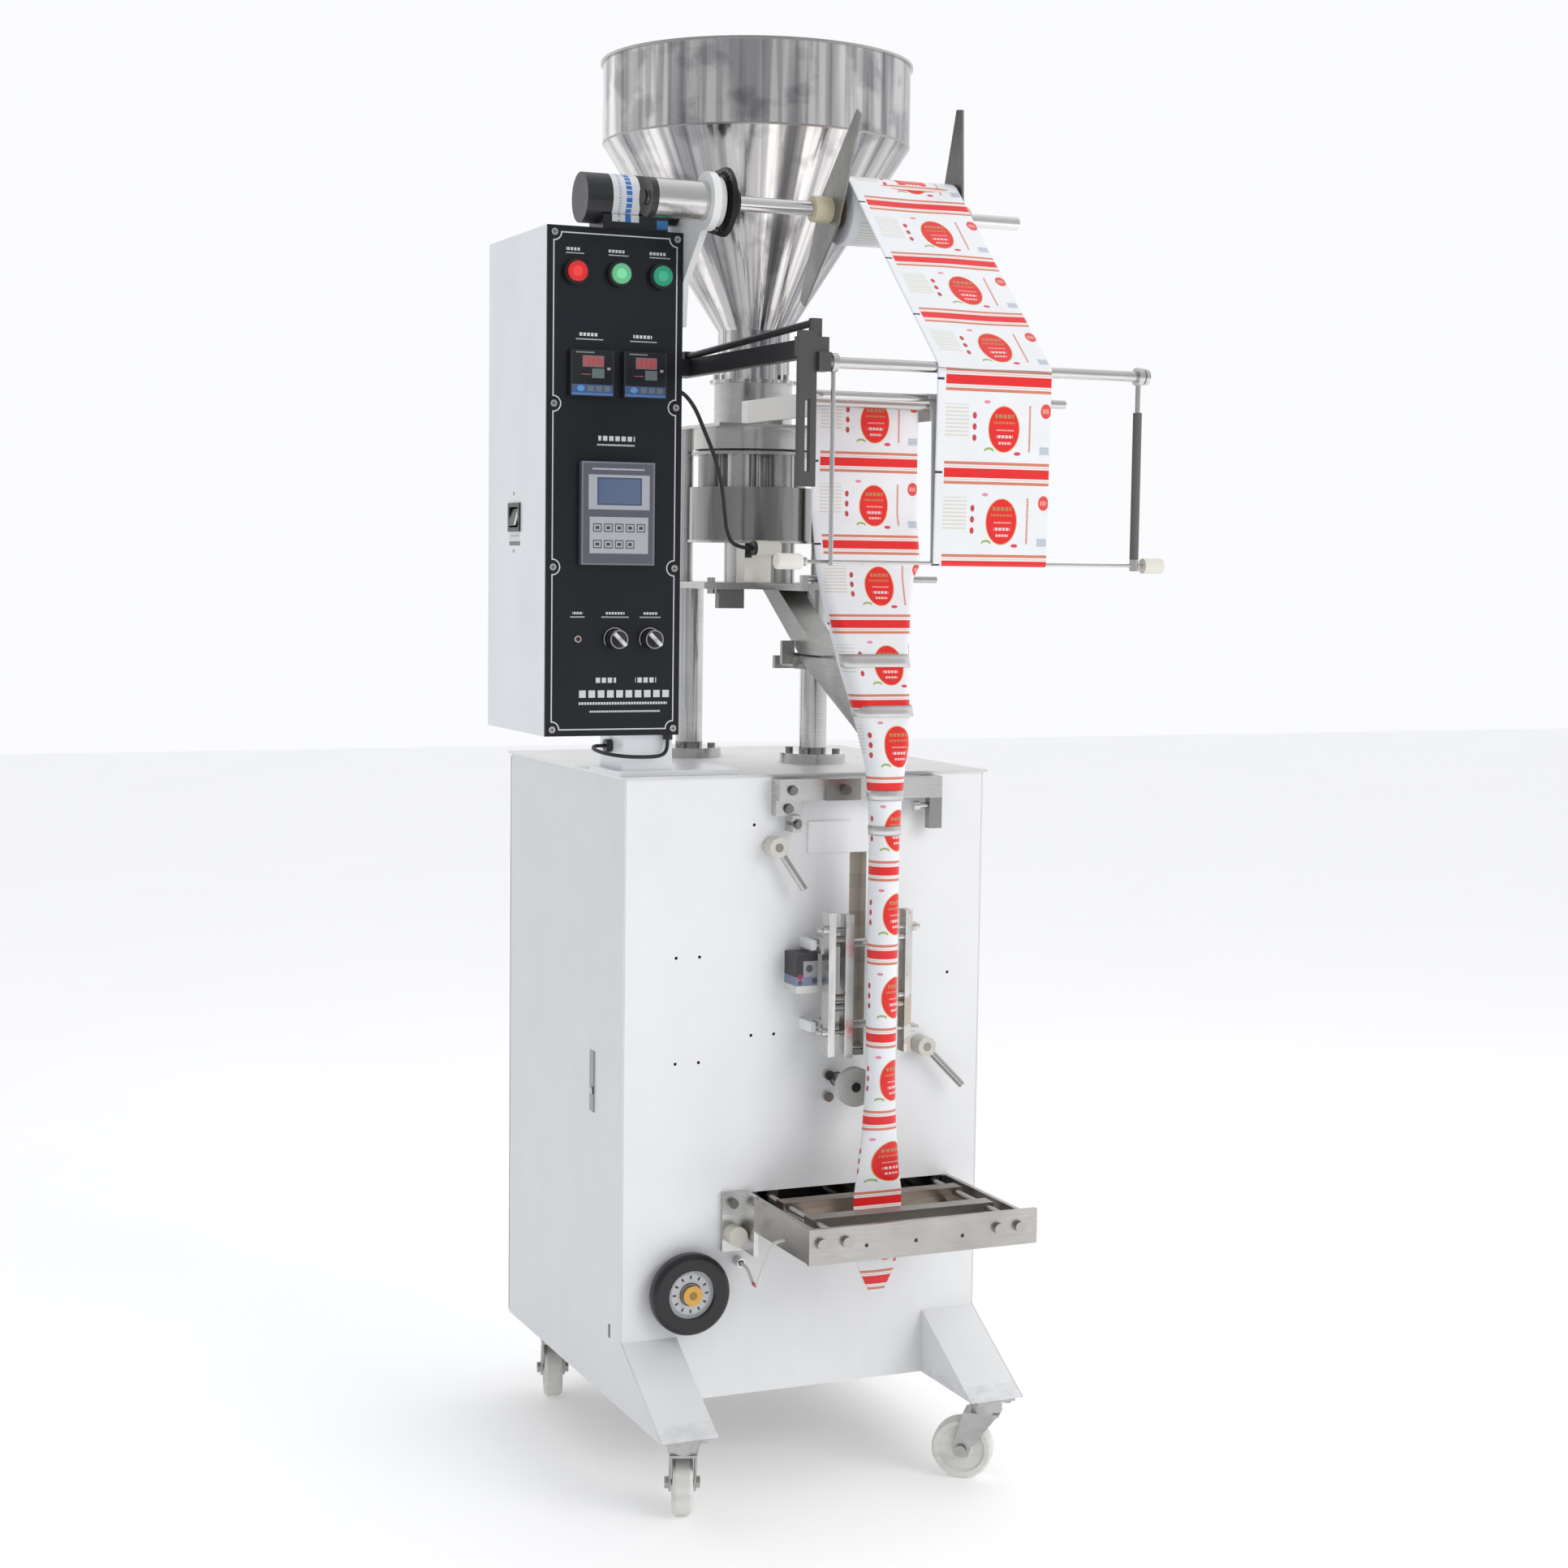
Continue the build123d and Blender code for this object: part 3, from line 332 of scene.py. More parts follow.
WHITE = (0.84, 0.85, 0.86)
STEEL = (0.66, 0.655, 0.64)
BLACK = (0.012, 0.012, 0.014)
NYLON = (0.74, 0.72, 0.66)
TAN = (0.52, 0.47, 0.41)
RED = (0.74, 0.010, 0.010)


def words(s, u, v, left, right, base, height, pitch):
    """A row of small dashes that stands for a line of lettering."""
    row = s.rect(u, v, (left + right) / 2, base, right - left, height)
    return row & ((u / pitch) % 1 < 0.72)


def cabinet_finishes():
    """White sheet steel outside, with the side panels painted a darker grey as shade, a dull primer inside.
    """
    s = coat("cabinet_front_coat", WHITE)
    s.paint(s.y > 1.6, TAN, 0.6)
    edge = s.noise((0.05, 0.05, 0.012), 3)
    s.vary(edge & (s.z < 330), 0.03)
    dress(s, "front_panel")
    # Painted shade: the side panels are the same white steel as the front, coloured darker grey for the shade
    # that falls on them.
    s = coat("cabinet_side_coat_painted_shade", (0.70, 0.71, 0.73))
    s.paint((s.x > 1.6) & (s.x < 473.4), TAN, 0.6)
    strip = s.rect(s.y, s.z, 105.5, 483.5, 17.2, 75.2) & (s.x < -0.6)
    s.paint(strip, (0.30, 0.305, 0.31), 0.35, 0.4)
    s.paint(strip & (s.y < 100.5), (0.16, 0.165, 0.17), 0.4, 0.2)
    s.paint(s.disc(s.y, s.z, 104, 472, 4.4) & (s.x < -1.4), (0.62, 0.62, 0.6), 0.25, 1.0)
    s.paint(s.rect(s.y, s.z, 104, 472, 1.2, 6) & (s.x < -1.4), (0.05, 0.05, 0.05), 0.4)
    dress(s, "side_panels")
    s = coat("foot_coat", WHITE)
    s.vary(s.noise((0.06, 0.06, 0.06), 4) & (s.z < 118), 0.25, 0.2)
    dress(s, "front_feet")
    s = coat("door_coat", WHITE)
    s.paint((s.y < 438.4) & (s.y > 437), TAN, 0.6)
    dress(s, "rear_door")
    s = steel("top_plate_steel", (0.86, 0.86, 0.85), 0.48, (0.02, 1.6, 0.02), 0.06)
    dress(s, "top_plate")
    s = coat("inner_frame_paint", (0.33, 0.32, 0.31), 0.5)
    s.paint((s.x < 0.5) | (s.y > 440.2), STEEL, 0.35, 1.0)
    dress(s, "inner_frame")
    s = coat("drive_paint", (0.16, 0.17, 0.18), 0.45)
    dress(s, "drive_units")
    s = steel("shaft_steel", STEEL, 0.2, (2.0, 0.02, 2.0))
    dress(s, "cam_shaft")


def handwheel_finish():
    """Black rim, pale dial with a scale, brass nut."""
    s = plastic("handwheel_bakelite", BLACK, 0.3, 0.4, 0.03)
    u, v = s.x - HAND_X, s.z - HAND_Z
    radius = s.distance(u, v)
    turn = s.angle(u, v) / (2 * pi) + 1.0
    s.paint((radius < 29.6) & (s.y < -12), (0.62, 0.64, 0.66), 0.34, 0.0)
    fine = ((turn * 72) % 1 < 0.28) & (radius > 24.5) & (radius < 28.5)
    coarse = ((turn * 12 + 0.12) % 1 < 0.24) & (radius > 18.5) & (radius < 23)
    ring = (radius > 12.6) & (radius < 14.2)
    s.paint((fine | coarse | ring) & (s.y < -18), (0.06, 0.07, 0.09), 0.4)
    s.paint((radius < 12.4) & (s.y < -20.2), (0.62, 0.36, 0.10), 0.28, 1.0)
    s.paint((radius < 5.2) & (s.y < -20.2), (0.35, 0.22, 0.08), 0.4, 1.0)
    s.bump((radius * 0.5) % 1, 0.02)
    dress(s, "handwheel")


def panel_print():
    """Printed black panel with its silver line and the dashes that stand for its lettering."""
    s = Surface("panel_print", (0.014, 0.016, 0.021), 0.26, Specular_IOR_Level=0.26)
    s.vary(s.noise(0.012, 3), 0.25, 0.12)
    x, z = s.x, s.z
    mid_x, mid_z = (BOX_X0 + BOX_X1) / 2, (BOX_Z0 + BOX_Z1) / 2
    wide, tall = BOX_X1 - BOX_X0, BOX_Z1 - BOX_Z0

    def field(inset, notch):
        area = s.rect(x, z, mid_x, mid_z, wide - 2 * inset, tall - 2 * inset)
        for cx, cz in SCREWS:
            area = area & ~s.disc(x, z, cx, cz, notch)
        return area

    marks = field(7.0, 8.2) & ~field(8.4, 9.6)
    # each row of dashes: left, right, height above the floor, tall, pitch
    rows = [(-36, 9, 1259, 5.6, 7.6), (-38, 9, 1251.5, 2, 2.2), (-38, -12, 979, 6, 7.4)]
    rows += [(12, 38, 979, 6, 7.4), (-58, 56, 963, 8.5, 11.5), (-58, 52, 952, 3, 3.4)]
    rows += [(-45, 43, 942.5, 2.2, 2.6)]
    for cx, half in ((-66, 11), (-13, 12), (38, 13)):
        rows += [(cx - half, cx + half * 0.6, 1473, 3.4, 4.2), (cx - half, cx + half, 1468.5, 1.3, 1.7)]
    for cx in (-47, 19):
        rows += [(cx - 13, cx + 10, 1377, 3.8, 4.6), (cx - 17, cx + 16, 1371.5, 1.3, 1.7)]
    for cx, half in ((-60, 9), (-14, 17), (30, 13)):
        rows += [(cx - half * 0.7, cx + half * 0.7, 1057, 2.8, 3.6), (cx - half, cx + half, 1052.5, 1.3, 1.7)]
    for row in rows:
        marks = marks | words(s, x, z, *row)
    for _, cx in KNOBS:
        ring = s.disc(x, z, cx, KNOB_Z, 13.4) & ~s.disc(x, z, cx, KNOB_Z, 12.6)
        marks = marks | (ring & (z > KNOB_Z - 7))
    s.paint(marks & (s.y < 0.4), (0.62, 0.63, 0.66), 0.35)
    s.bump(marks, 0.03)
    dress(s, "control_panel")


def meter_finish():
    """Two temperature controllers: red digits, a small green field and a blue foot."""
    s = plastic("meter_plastic", (0.018, 0.02, 0.024), 0.3, 0.8, 0.02)
    x, z = s.x, s.z
    front = s.y < -7.5
    for cx in METERS:
        s.paint(front & s.rect(x, z, cx, 1334, 48, 49), (0.012, 0.013, 0.017), 0.18)
        s.paint(front & s.rect(x, z, cx + 1, 1346, 26, 13), (0.26, 0.13, 0.14), 0.12)
        digits = s.rect(x, z, cx + 1, 1346, 23, 9) & ((x - cx + 12) / 5.8 % 1 < 0.66)
        hole = s.rect(x, z, cx + 1, 1348, 23, 1.8) | s.rect(x, z, cx + 1, 1344, 23, 1.8)
        s.paint(front & digits & ~(hole & ((x - cx + 10.6) / 5.8 % 1 < 0.36)), (0.5, 0.05, 0.05), 0.2)
        s.paint(front & s.rect(x, z, cx + 7, 1332.5, 15, 11), (0.13, 0.17, 0.17), 0.15)
        s.paint(front & words(s, x, z, cx - 14, cx - 2, 1331, 1.2, 2), (0.4, 0.1, 0.08), 0.3)
        s.paint(front & words(s, x, z, cx - 20, cx + 2, 1356, 1.4, 2.1), (0.3, 0.32, 0.34), 0.3)
        s.paint(front & s.rect(x, z, cx + 20, 1338, 4, 3), (0.4, 0.3, 0.3), 0.3)
        s.paint(front & s.rect(x, z, cx, 1313.5, 50, 12), (0.055, 0.10, 0.22), 0.3)
        s.paint(front & s.rect(x, z, cx, 1308.6, 50, 2.4), (0.08, 0.20, 0.48), 0.3)
        s.paint(front & s.disc(x, z, cx - 14, 1315, 4.4, 3.4), (0.10, 0.30, 0.62), 0.3)
        for dx in (-2, 8, 18):
            s.paint(front & s.rect(x, z, cx + dx, 1315, 7, 6), (0.15, 0.16, 0.18), 0.3)
    dress(s, "temperature_controllers")


def bag_controller_finish():
    """Bag controller: dark blue display over a field of small keys."""
    s = plastic("controller_plastic", (0.105, 0.11, 0.14), 0.38, 0.7, 0.03)
    x, z = s.x, s.z
    front = s.y < -8.5
    rim = front & ~s.rect(x, z, -14, 1172.5, 86, 115)
    s.paint(rim, (0.19, 0.195, 0.23), 0.3)
    s.paint(front & words(s, x, z, -46, 18, 1223.5, 2, 2.4), (0.55, 0.57, 0.6), 0.3)
    s.paint(front & s.rect(x, z, -13, 1197, 75, 40), (0.42, 0.44, 0.48), 0.28)
    s.paint(front & s.rect(x, z, -12.5, 1198, 55, 32), (0.075, 0.10, 0.165), 0.1)
    s.paint(front & s.rect(x, z, -12.5, 1198, 51, 28), (0.11, 0.155, 0.26), 0.08)
    s.paint(front & s.rect(x, z, -13, 1147.4, 72, 42), (0.44, 0.46, 0.49), 0.3)
    grid_u, grid_v = (x + 46.2) % 13.4, (z - 1127.5) % 19
    keys = s.rect(x, z, -12.7, 1146.8, 67, 38.6)
    cell = s.rect(grid_u, grid_v, 6.7, 9.5, 10.6, 9.6) & ~s.rect(grid_u, grid_v, 6.7, 9.5, 8.4, 7.4)
    glyph = s.rect(grid_u, grid_v, 6.7, 9.5, 4.6, 3.6)
    blank = s.rect(x, z, 14, 1137, 12, 16)
    s.paint(front & keys & (cell | glyph) & ~blank, (0.05, 0.055, 0.07), 0.35)
    s.bump(keys & s.rect(grid_u, grid_v, 6.7, 9.5, 10.6, 9.6), 0.25)
    dress(s, "bag_controller")


def panel_fitting_finishes():
    """Panel screws, indicator lamp, three push buttons, two knobs and the main switch."""
    s = plastic("fitting_plastic", (0.014, 0.014, 0.016), 0.3, 0.9, 0.02)
    x, z = s.x, s.z
    for cx, cz in SCREWS:
        head = s.disc(x, z, cx, cz, 5) & (s.y < 0.2)
        s.paint(head, (0.55, 0.55, 0.53), 0.25, 1.0)
        cross = s.rect(x, z, cx, cz, 4.6, 0.9) | s.rect(x, z, cx, cz, 0.9, 4.6)
        s.paint(head & cross & (s.y < -2.2), (0.02, 0.02, 0.02), 0.6, 0.0)
    s.paint(s.disc(x, z, LAMP_X, KNOB_Z, 4.2) & (s.y < 0), (0.4, 0.41, 0.4), 0.2, 0.0)
    s.paint(s.disc(x, z, LAMP_X, KNOB_Z, 2.7) & (s.y < 0), (0.05, 0.012, 0.012), 0.1, 0.0)
    dress(s, "panel_fittings")

    for name, color, cx in (
        ("red_button", (0.80, 0.012, 0.012), -66),
        ("pale_green_button", (0.16, 0.60, 0.30), -13),
        ("green_button", (0.01, 0.36, 0.20), 38),
    ):
        s = Surface(
            name + "_cap", color, 0.18, Coat_Weight=0.6, Coat_Roughness=0.08, Subsurface_Weight=0.25
        )
        s.shader.inputs["Subsurface Radius"].default_value = (0.004, 0.004, 0.004)
        u, v = s.x - cx, s.z - BUTTON_Z
        radius = s.distance(u, v)
        s.vary((radius * 0.62) % 1, 0.14)
        s.paint((radius < 6) & (s.y < -11), tuple(min(1, c * 1.35 + 0.03) for c in color), 0.16)
        s.bump((radius * 0.62) % 1, 0.12)
        dress(s, name)

    for name, cx in KNOBS:
        s = plastic(name + "_plastic", (0.014, 0.014, 0.015), 0.35, 0.9, 0.03)
        u, v = s.x - cx, s.z - KNOB_Z
        turn = s.angle(u, v) / (2 * pi) + 1.0
        s.bump((turn * 36) % 1, 0.25)
        across = (u + v) * 0.7071
        s.paint((s.y < -16.2) & (abs(across) < 2.1), (0.72, 0.73, 0.74), 0.3)
        radius = s.distance(u, v)
        s.paint((s.y < -15.4) & (radius > 9.6) & (s.y > -16.4), (0.3, 0.3, 0.31), 0.3)
        dress(s, name)

    s = plastic("rocker_plastic", (0.02, 0.02, 0.022), 0.28)
    mark = (s.z > 1159) & (s.z < 1177) & (s.y > 103) & (s.y < 110) & (s.x < BOX_X0 + 3)
    s.paint(mark, (0.72, 0.72, 0.69), 0.3)
    dress(s, "main_switch")


def box_finish():
    """White control box, its switch's label plate and two rivets, and painted shade inside."""
    s = coat("box_coat", (0.80, 0.82, 0.845), 0.3)
    s.vary(s.noise((0.004, 0.02, 0.004), 2), 0.04)
    plate = s.rect(s.y, s.z, 117, 1142, 42, 15) & (s.x < BOX_X0 + 0.2)
    s.paint(plate, (0.66, 0.67, 0.68), 0.3)
    s.paint(plate & words(s, s.y, s.z, 98, 136, 1146, 2.2, 3.4), (0.34, 0.31, 0.32), 0.3)
    s.paint(plate & (s.z < 1139.5), (0.07, 0.07, 0.08), 0.3)
    for cz in (1128, 1196):
        s.paint(s.disc(s.y, s.z, 121, cz, 4, 2.4) & (s.x < BOX_X0 + 0.2), (0.28, 0.28, 0.28), 0.3, 1.0)
    # Painted shade: the inside of the box is the box's white darkened to about a third.
    inside = (s.x > BOX_X0 + 1.2) & (s.x < BOX_X1 - 1.2) & (s.y > 150) & (s.y < 220)
    s.paint(inside & (s.z > 950) & (s.z < 1470), (0.25, 0.26, 0.28), 0.5)
    dress(s, "control_box_shell")


def hopper_finish():
    """Hand-polished sheet with soft upright bands, partly forming streaks and partly painted reflection,
    painted shade on its front-right side, a weld down one side and a hoop.
    """
    s = Surface("hopper_polish", (0.92, 0.895, 0.865), 0.12, 1.0)
    turn, sweep = s.around(HOPPER_X, HOPPER_Y)
    bands = s.noise((4.2, 0.0012, 0), 3, sweep)
    fine = s.noise((17.0, 0.0025, 0), 2, sweep)
    kink_and_reflection = s.noise((2.6, 0.016, 0), 4, sweep)
    # Upright streaks darken the base colour: partly forming streaks in the sheet, partly painted reflection
    # of the surroundings.
    s.vary((bands - 0.38) * 4.6, 0.46, 0.03)
    s.vary((fine - 0.42) * 5.0, 0.34)
    s.vary((kink_and_reflection - 0.46) * 6.0, 0.34)
    # Painted shade: the front-right side of the hopper is darkened.
    s.vary((turn > -1.25) & (turn < -0.2), 0.34)
    hoop_z = 1643
    weld = abs(turn + 1.32) < 0.006
    s.paint(weld & (s.z < hoop_z), (0.42, 0.40, 0.37), 0.35)
    s.paint(abs(s.z - hoop_z) < 1.3, (0.42, 0.41, 0.39), 0.3)
    s.paint(s.z > 1741.6, (0.5, 0.5, 0.49), 0.22)
    s.bump(bands, 1.2)
    s.bump(kink_and_reflection, 0.5)
    dress(s, "hopper")


def filler_finishes():
    """Filler drum, turntable with its cups, table with its nylon block, posts and former."""
    s = steel("filler_steel", (0.60, 0.595, 0.575), 0.2, (0.03, 0.03, 0.9), 0.25)
    s.paint((s.z > 1290) & (s.z < 1320) & (s.y < 150), (0.55, 0.54, 0.52), 0.3)
    dress(s, "filler_frame")
    s = Surface("cover_steel", (0.32, 0.315, 0.305), 0.2, 1.0)
    sweep = s.around(HOPPER_X, HOPPER_Y)[1]
    s.vary((s.noise((4.5, 0.004, 0), 3, sweep) - 0.45) * 4.0, 0.5, 0.05)
    s.bump(s.noise((60.0, 0.02, 0), 1, sweep), 0.03)
    dress(s, "turntable_cover")
    s = steel("cup_steel", (0.52, 0.515, 0.50), 0.28, (0.6, 0.6, 0.02), 0.3)
    dress(s, "cup_turntable")

    s = steel("table_steel", (0.56, 0.555, 0.535), 0.26, (1.4, 0.02, 0.02), 0.25)
    nylon = (s.x > 204) & (s.x < 247) & (s.y > 110) & (s.y < 161) & (s.z > 1093.2) & (s.z < 1146)
    s.paint(nylon, (0.90, 0.87, 0.79), 0.5, 0.0)
    s.paint(nylon & (s.y < 133) & (s.x < 214) & (s.z > 1124), (0.03, 0.03, 0.03), 0.4, 0.0)
    hanger = (s.y > 135) & (s.y < 149) & (s.x > 171) & (s.x < 207) & (s.z < 1084.5)
    s.paint(hanger, (0.22, 0.22, 0.22), 0.4)
    dress(s, "filler_table")
    s = steel("post_steel", (0.66, 0.655, 0.64), 0.16, (0.02, 0.02, 1.4), 0.2)
    s.paint((s.z > 877.2) & (s.z < 884), (0.30, 0.295, 0.28), 0.3)
    dress(s, "support_posts")
    s = steel("former_steel", (0.46, 0.455, 0.44), 0.34, (0.5, 0.02, 0.5), 0.3)
    dress(s, "film_former")


def unwind_finishes():
    """Unwind shaft, wing plates with nylon collars, white arm, chain and motor."""
    s = Surface("unwind_shaft_steel", (0.78, 0.775, 0.76), 0.16, 1.0)
    s.vary(s.noise((1.8, 0.05, 0.05), 2), 0.14, 0.12)
    s.paint((s.x > 77) & (s.x < 98), (0.03, 0.03, 0.032), 0.38, 0.6)
    s.paint(s.x < -13, (0.05, 0.05, 0.05), 0.4, 0.6)
    dress(s, "unwind_shaft")
    s = steel("wing_steel", (0.36, 0.355, 0.34), 0.42, (0.02, 0.5, 0.06), 0.35)
    collar = (s.x < 213.8) | (s.x > 373.8)
    s.paint(collar, (0.62, 0.56, 0.40), 0.42, 0.0)
    dress(s, "wing_plates")
    s = coat("arm_coat", (0.78, 0.79, 0.79), 0.38)
    s.bump(s.noise(0.12, 3), 0.25)
    s.paint(s.x < 58, (0.66, 0.655, 0.64), 0.22, 1.0)
    s.paint(s.x < -4, (0.02, 0.02, 0.022), 0.4, 0.0)
    dress(s, "unwind_arm")
    s = Surface("blackened_chain", (0.025, 0.025, 0.027), 0.4, 0.7)
    s.vary(s.noise(0.3, 3), 0.3, 0.3)
    lean = s.angle(s.y - UNWIND_Y, s.z - UNWIND_Z)
    s.bump((lean * 7.6) % 1, 0.8)
    dress(s, "unwind_chain")
    s = Surface("sprocket_steel", (0.03, 0.03, 0.032), 0.36, 0.7)
    s.vary(s.noise(0.4, 3), 0.3, 0.3)
    dress(s, "motor_sprocket")

    s = plastic("motor_paint", (0.022, 0.023, 0.026), 0.34, 0.5, 0.05)
    turn = s.angle(s.y - 30, s.z - 1536)
    band = (s.x > -19) & (s.x < 14) & (s.z > 1508)
    s.paint(band, (0.66, 0.68, 0.70), 0.35)
    s.paint(band & (s.x > -3) & (s.x < 4) & ((turn * 4.5) % 1 < 0.8), (0.03, 0.16, 0.50), 0.35)
    s.paint(band & (s.x > -12) & (s.x < -9) & ((turn * 9) % 1 < 0.6), (0.35, 0.42, 0.5), 0.35)
    s.paint((s.x > 36) & (s.y < 8) & (s.z < 1512) & (s.z > 1502), (0.05, 0.22, 0.5), 0.35)
    s.bump(((turn * 12) % 1 < 0.5) & (s.x > 16), 0.4)
    dress(s, "unwind_motor")


def roller_finishes():
    """Bright rods on a blackened bracket, and the dancer."""
    s = steel("roller_steel", (0.70, 0.695, 0.68), 0.2, (0.02, 1.2, 1.2), 0.15)
    s.paint((s.y > -327) & (s.z > 1330), (0.025, 0.025, 0.028), 0.35, 0.2)
    s.paint((s.x < 100.5) & (s.y < -326), (0.115, 0.115, 0.115), 0.42, 0.7)
    dress(s, "roller_bracket")
    s = steel("dancer_steel", (0.68, 0.675, 0.66), 0.22, (0.6, 0.6, 0.6), 0.15)
    s.paint(s.x > 491.8, (0.72, 0.70, 0.62), 0.45, 0.0)
    s.paint((s.x > 470) & (s.x < 489) & (s.z < 1290.3) & (s.z > 1127), (0.13, 0.13, 0.13), 0.5, 0.3)
    dress(s, "dancer")


def bracket_finishes():
    """Clamp bar, slot cover, bolts, sensor block and lugs on the cabinet's front, and the seal bars."""
    s = steel("bracket_steel", (0.68, 0.675, 0.66), 0.26, (0.02, 0.02, 1.4), 0.2)
    cover = (s.x > 235.5) & (s.x < 292.5) & (s.z > 767) & (s.z < 806.5) & (s.y > -3.2)
    s.paint(cover, WHITE, 0.35, 0.0)
    s.paint((s.x > 246) & (s.x < 293) & (s.z > 833) & (s.y < -26.2), (0.34, 0.335, 0.32), 0.3)
    s.paint((s.x > 387) & (s.x < 405.5) & (s.z < 833.8) & (s.z > 795), (0.34, 0.335, 0.32), 0.35)
    for cx, cz in ((204, 847), (204, 824), (270, 847), (212, 806), (141, 345), (266, 494), (266, 467)):
        s.paint(s.disc(s.x, s.z, cx, cz, 6.4) & (s.y < -6.2), (0.24, 0.235, 0.225), 0.28, 1.0)
    s.paint(s.disc(s.x, s.z, 141, 308, 12.4) & (s.y < -6.3), (0.68, 0.66, 0.58), 0.45, 0.0)
    lugs = (s.z > 553) & (s.z < 667) & ((s.x < 234.1) & (s.x > 227.9) | (s.x > 352.5) & (s.x < 358.7))
    s.paint(lugs & (s.y < -0.1), WHITE, 0.4, 0.0)
    sensor = (s.x > 207) & (s.x < 236.5) & (s.z > 601) & (s.z < 650.5) & (s.y < -0.1)
    s.paint(sensor, (0.03, 0.03, 0.033), 0.35, 0.0)
    s.paint(sensor & (s.x > 217) & (s.z < 641), (0.34, 0.35, 0.36), 0.4, 0.3)
    s.paint(sensor & (s.z < 622), (0.20, 0.23, 0.34), 0.4, 0.0)
    s.paint(sensor & (s.z < 611), (0.66, 0.66, 0.64), 0.4, 0.0)
    for cx, cz, radius in ((225, 632, 4.5), (232, 617, 3.5), (213, 615, 3)):
        s.paint(sensor & s.disc(s.x, s.z, cx, cz, radius), (0.10, 0.10, 0.11), 0.3, 0.6)
    s.paint(sensor & s.disc(s.x, s.z, 213, 622, 3.4), (0.30, 0.03, 0.12), 0.4, 0.0)
    dress(s, "front_brackets")
    s = steel("seal_bar_steel", (0.70, 0.69, 0.67), 0.3, (0.3, 0.3, 0.02), 0.18)
    s.paint((s.x > 246.2) & (s.x < 257.8) & (s.y > -64), (0.34, 0.335, 0.32), 0.35)
    heat = s.noise(0.03, 3)
    s.paint((heat > 0.56) & (s.x > 257.8) & (s.x < 352), (0.56, 0.50, 0.43), 0.35)
    dress(s, "left_seal_bar", "right_seal_bar")


def jaw_finishes():
    """Jaw frame and the two cross jaws, browned by heat."""
    s = steel("jaw_frame_steel", (0.50, 0.485, 0.46), 0.32, (0.02, 0.02, 0.9), 0.2)
    s.paint(s.y < -193.2, (0.42, 0.41, 0.39), 0.25)
    for cx in (296, 357, 232):
        s.paint(s.disc(s.x, s.z, cx, 331, 2.4) & (s.y < -192.8), (0.06, 0.06, 0.06), 0.4)
    inside = (s.y > -186) & (s.x > 168) & (s.x < 431)
    s.paint(inside & (s.y > -12), (0.08, 0.08, 0.08), 0.4)
    dress(s, "jaw_frame")
    s = Surface("rear_jaw_metal", (0.26, 0.21, 0.17), 0.34, 0.9)
    s.vary(s.noise((0.03, 0.08, 0.5), 3), 0.35, 0.25)
    s.bump((s.z * 0.5) % 1, 0.25)
    dress(s, "rear_jaw")
    s = steel("front_jaw_metal", (0.40, 0.375, 0.345), 0.34, (0.02, 0.4, 1.2), 0.3)
    s.bump(((s.z * 0.5) % 1) & (s.y > -127), 0.25)
    dress(s, "front_jaw")


def nip_and_lever_finishes():
    """Rubber pull and pinch rollers, and the clamp levers."""
    for name, cx in (("pull_roller", 280), ("pinch_roller", 318.6)):
        s = Surface(name + "_rubber", (0.56, 0.575, 0.54), 0.5)
        u, v = s.x - cx, s.z - NIP_Z
        radius = s.distance(u, v)
        s.vary(s.noise(0.25, 3), 0.16, 0.2)
        s.bump(((s.angle(u, v) / (2 * pi) + 1.0) * 60) % 1, 0.2)
        s.paint((radius < 12) & (s.y > -45.9), (0.42, 0.415, 0.40), 0.35, 0.9)
        s.paint((radius < 6.2) & (s.y < -46.1), (0.006, 0.006, 0.006), 0.45, 0.0)
        s.vary((radius * 0.21) % 1, 0.10)
        dress(s, name)

    for name, cx, cz in (("upper_lever", 189, 778), ("lower_lever", 392, 524)):
        s = steel(name + "_steel", (0.54, 0.535, 0.52), 0.22, (0.5, 0.5, 0.5), 0.2)
        s.paint(s.disc(s.x, s.z, cx, cz, 12.4) & (s.y < -2.5), (0.62, 0.60, 0.54), 0.4, 0.0)
        s.paint(s.disc(s.x, s.z, cx, cz, 5.5) & (s.y < -23.8), (0.3, 0.3, 0.29), 0.3, 1.0)
        dress(s, name)


def slot_liner():
    """Shallow sheet-metal channel behind the slot of the front panel."""
    x0, x1, z0, z1 = 289, 320, 524, 771
    corners = [(x, y, z) for y in (3, 26) for x, z in ((x0, z0), (x1, z0), (x1, z1), (x0, z1))]
    mesh = bpy.data.meshes.new("slot_liner")
    walls = [(0, 1, 5, 4), (1, 2, 6, 5), (2, 3, 7, 6), (3, 0, 4, 7), (4, 5, 6, 7)]
    mesh.from_pydata([at(*corner) for corner in corners], [], walls)
    liner = add("slot_liner", mesh)
    thick = liner.modifiers.new("thickness", "SOLIDIFY")
    thick.thickness = 0.001
    s = Surface("slot_primer", (0.80, 0.75, 0.68), 0.55)
    s.vary(s.noise((0.02, 0.02, 0.006), 3), 0.25, 0.2)
    s.vary(abs((s.z % 47) - 23.5) < 9, 0.12)
    s.bump(s.noise(0.4, 2), 0.05)
    dress(s, liner)
    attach(liner, "root")


def turned(name, outline, y, z, count=40):
    """Solid turned about an axis along x, from (x, radius) points between two ends on the axis."""
    made = bmesh.new()
    rings = []
    for x, r in outline:
        turns = [2 * pi * i / count for i in range(count)]
        rings.append([made.verts.new(at(x, y + r * cos(a), z + r * sin(a))) for a in turns])
    for first, second in zip(rings, rings[1:]):
        for i in range(count):
            j = (i + 1) % count
            made.faces.new((first[i], first[j], second[j], second[i])).smooth = True
    made.faces.new(rings[0])
    made.faces.new(rings[-1])
    bmesh.ops.recalc_face_normals(made, faces=made.faces)
    mesh = bpy.data.meshes.new(name)
    made.to_mesh(mesh)
    made.free()
    return add(name, mesh)


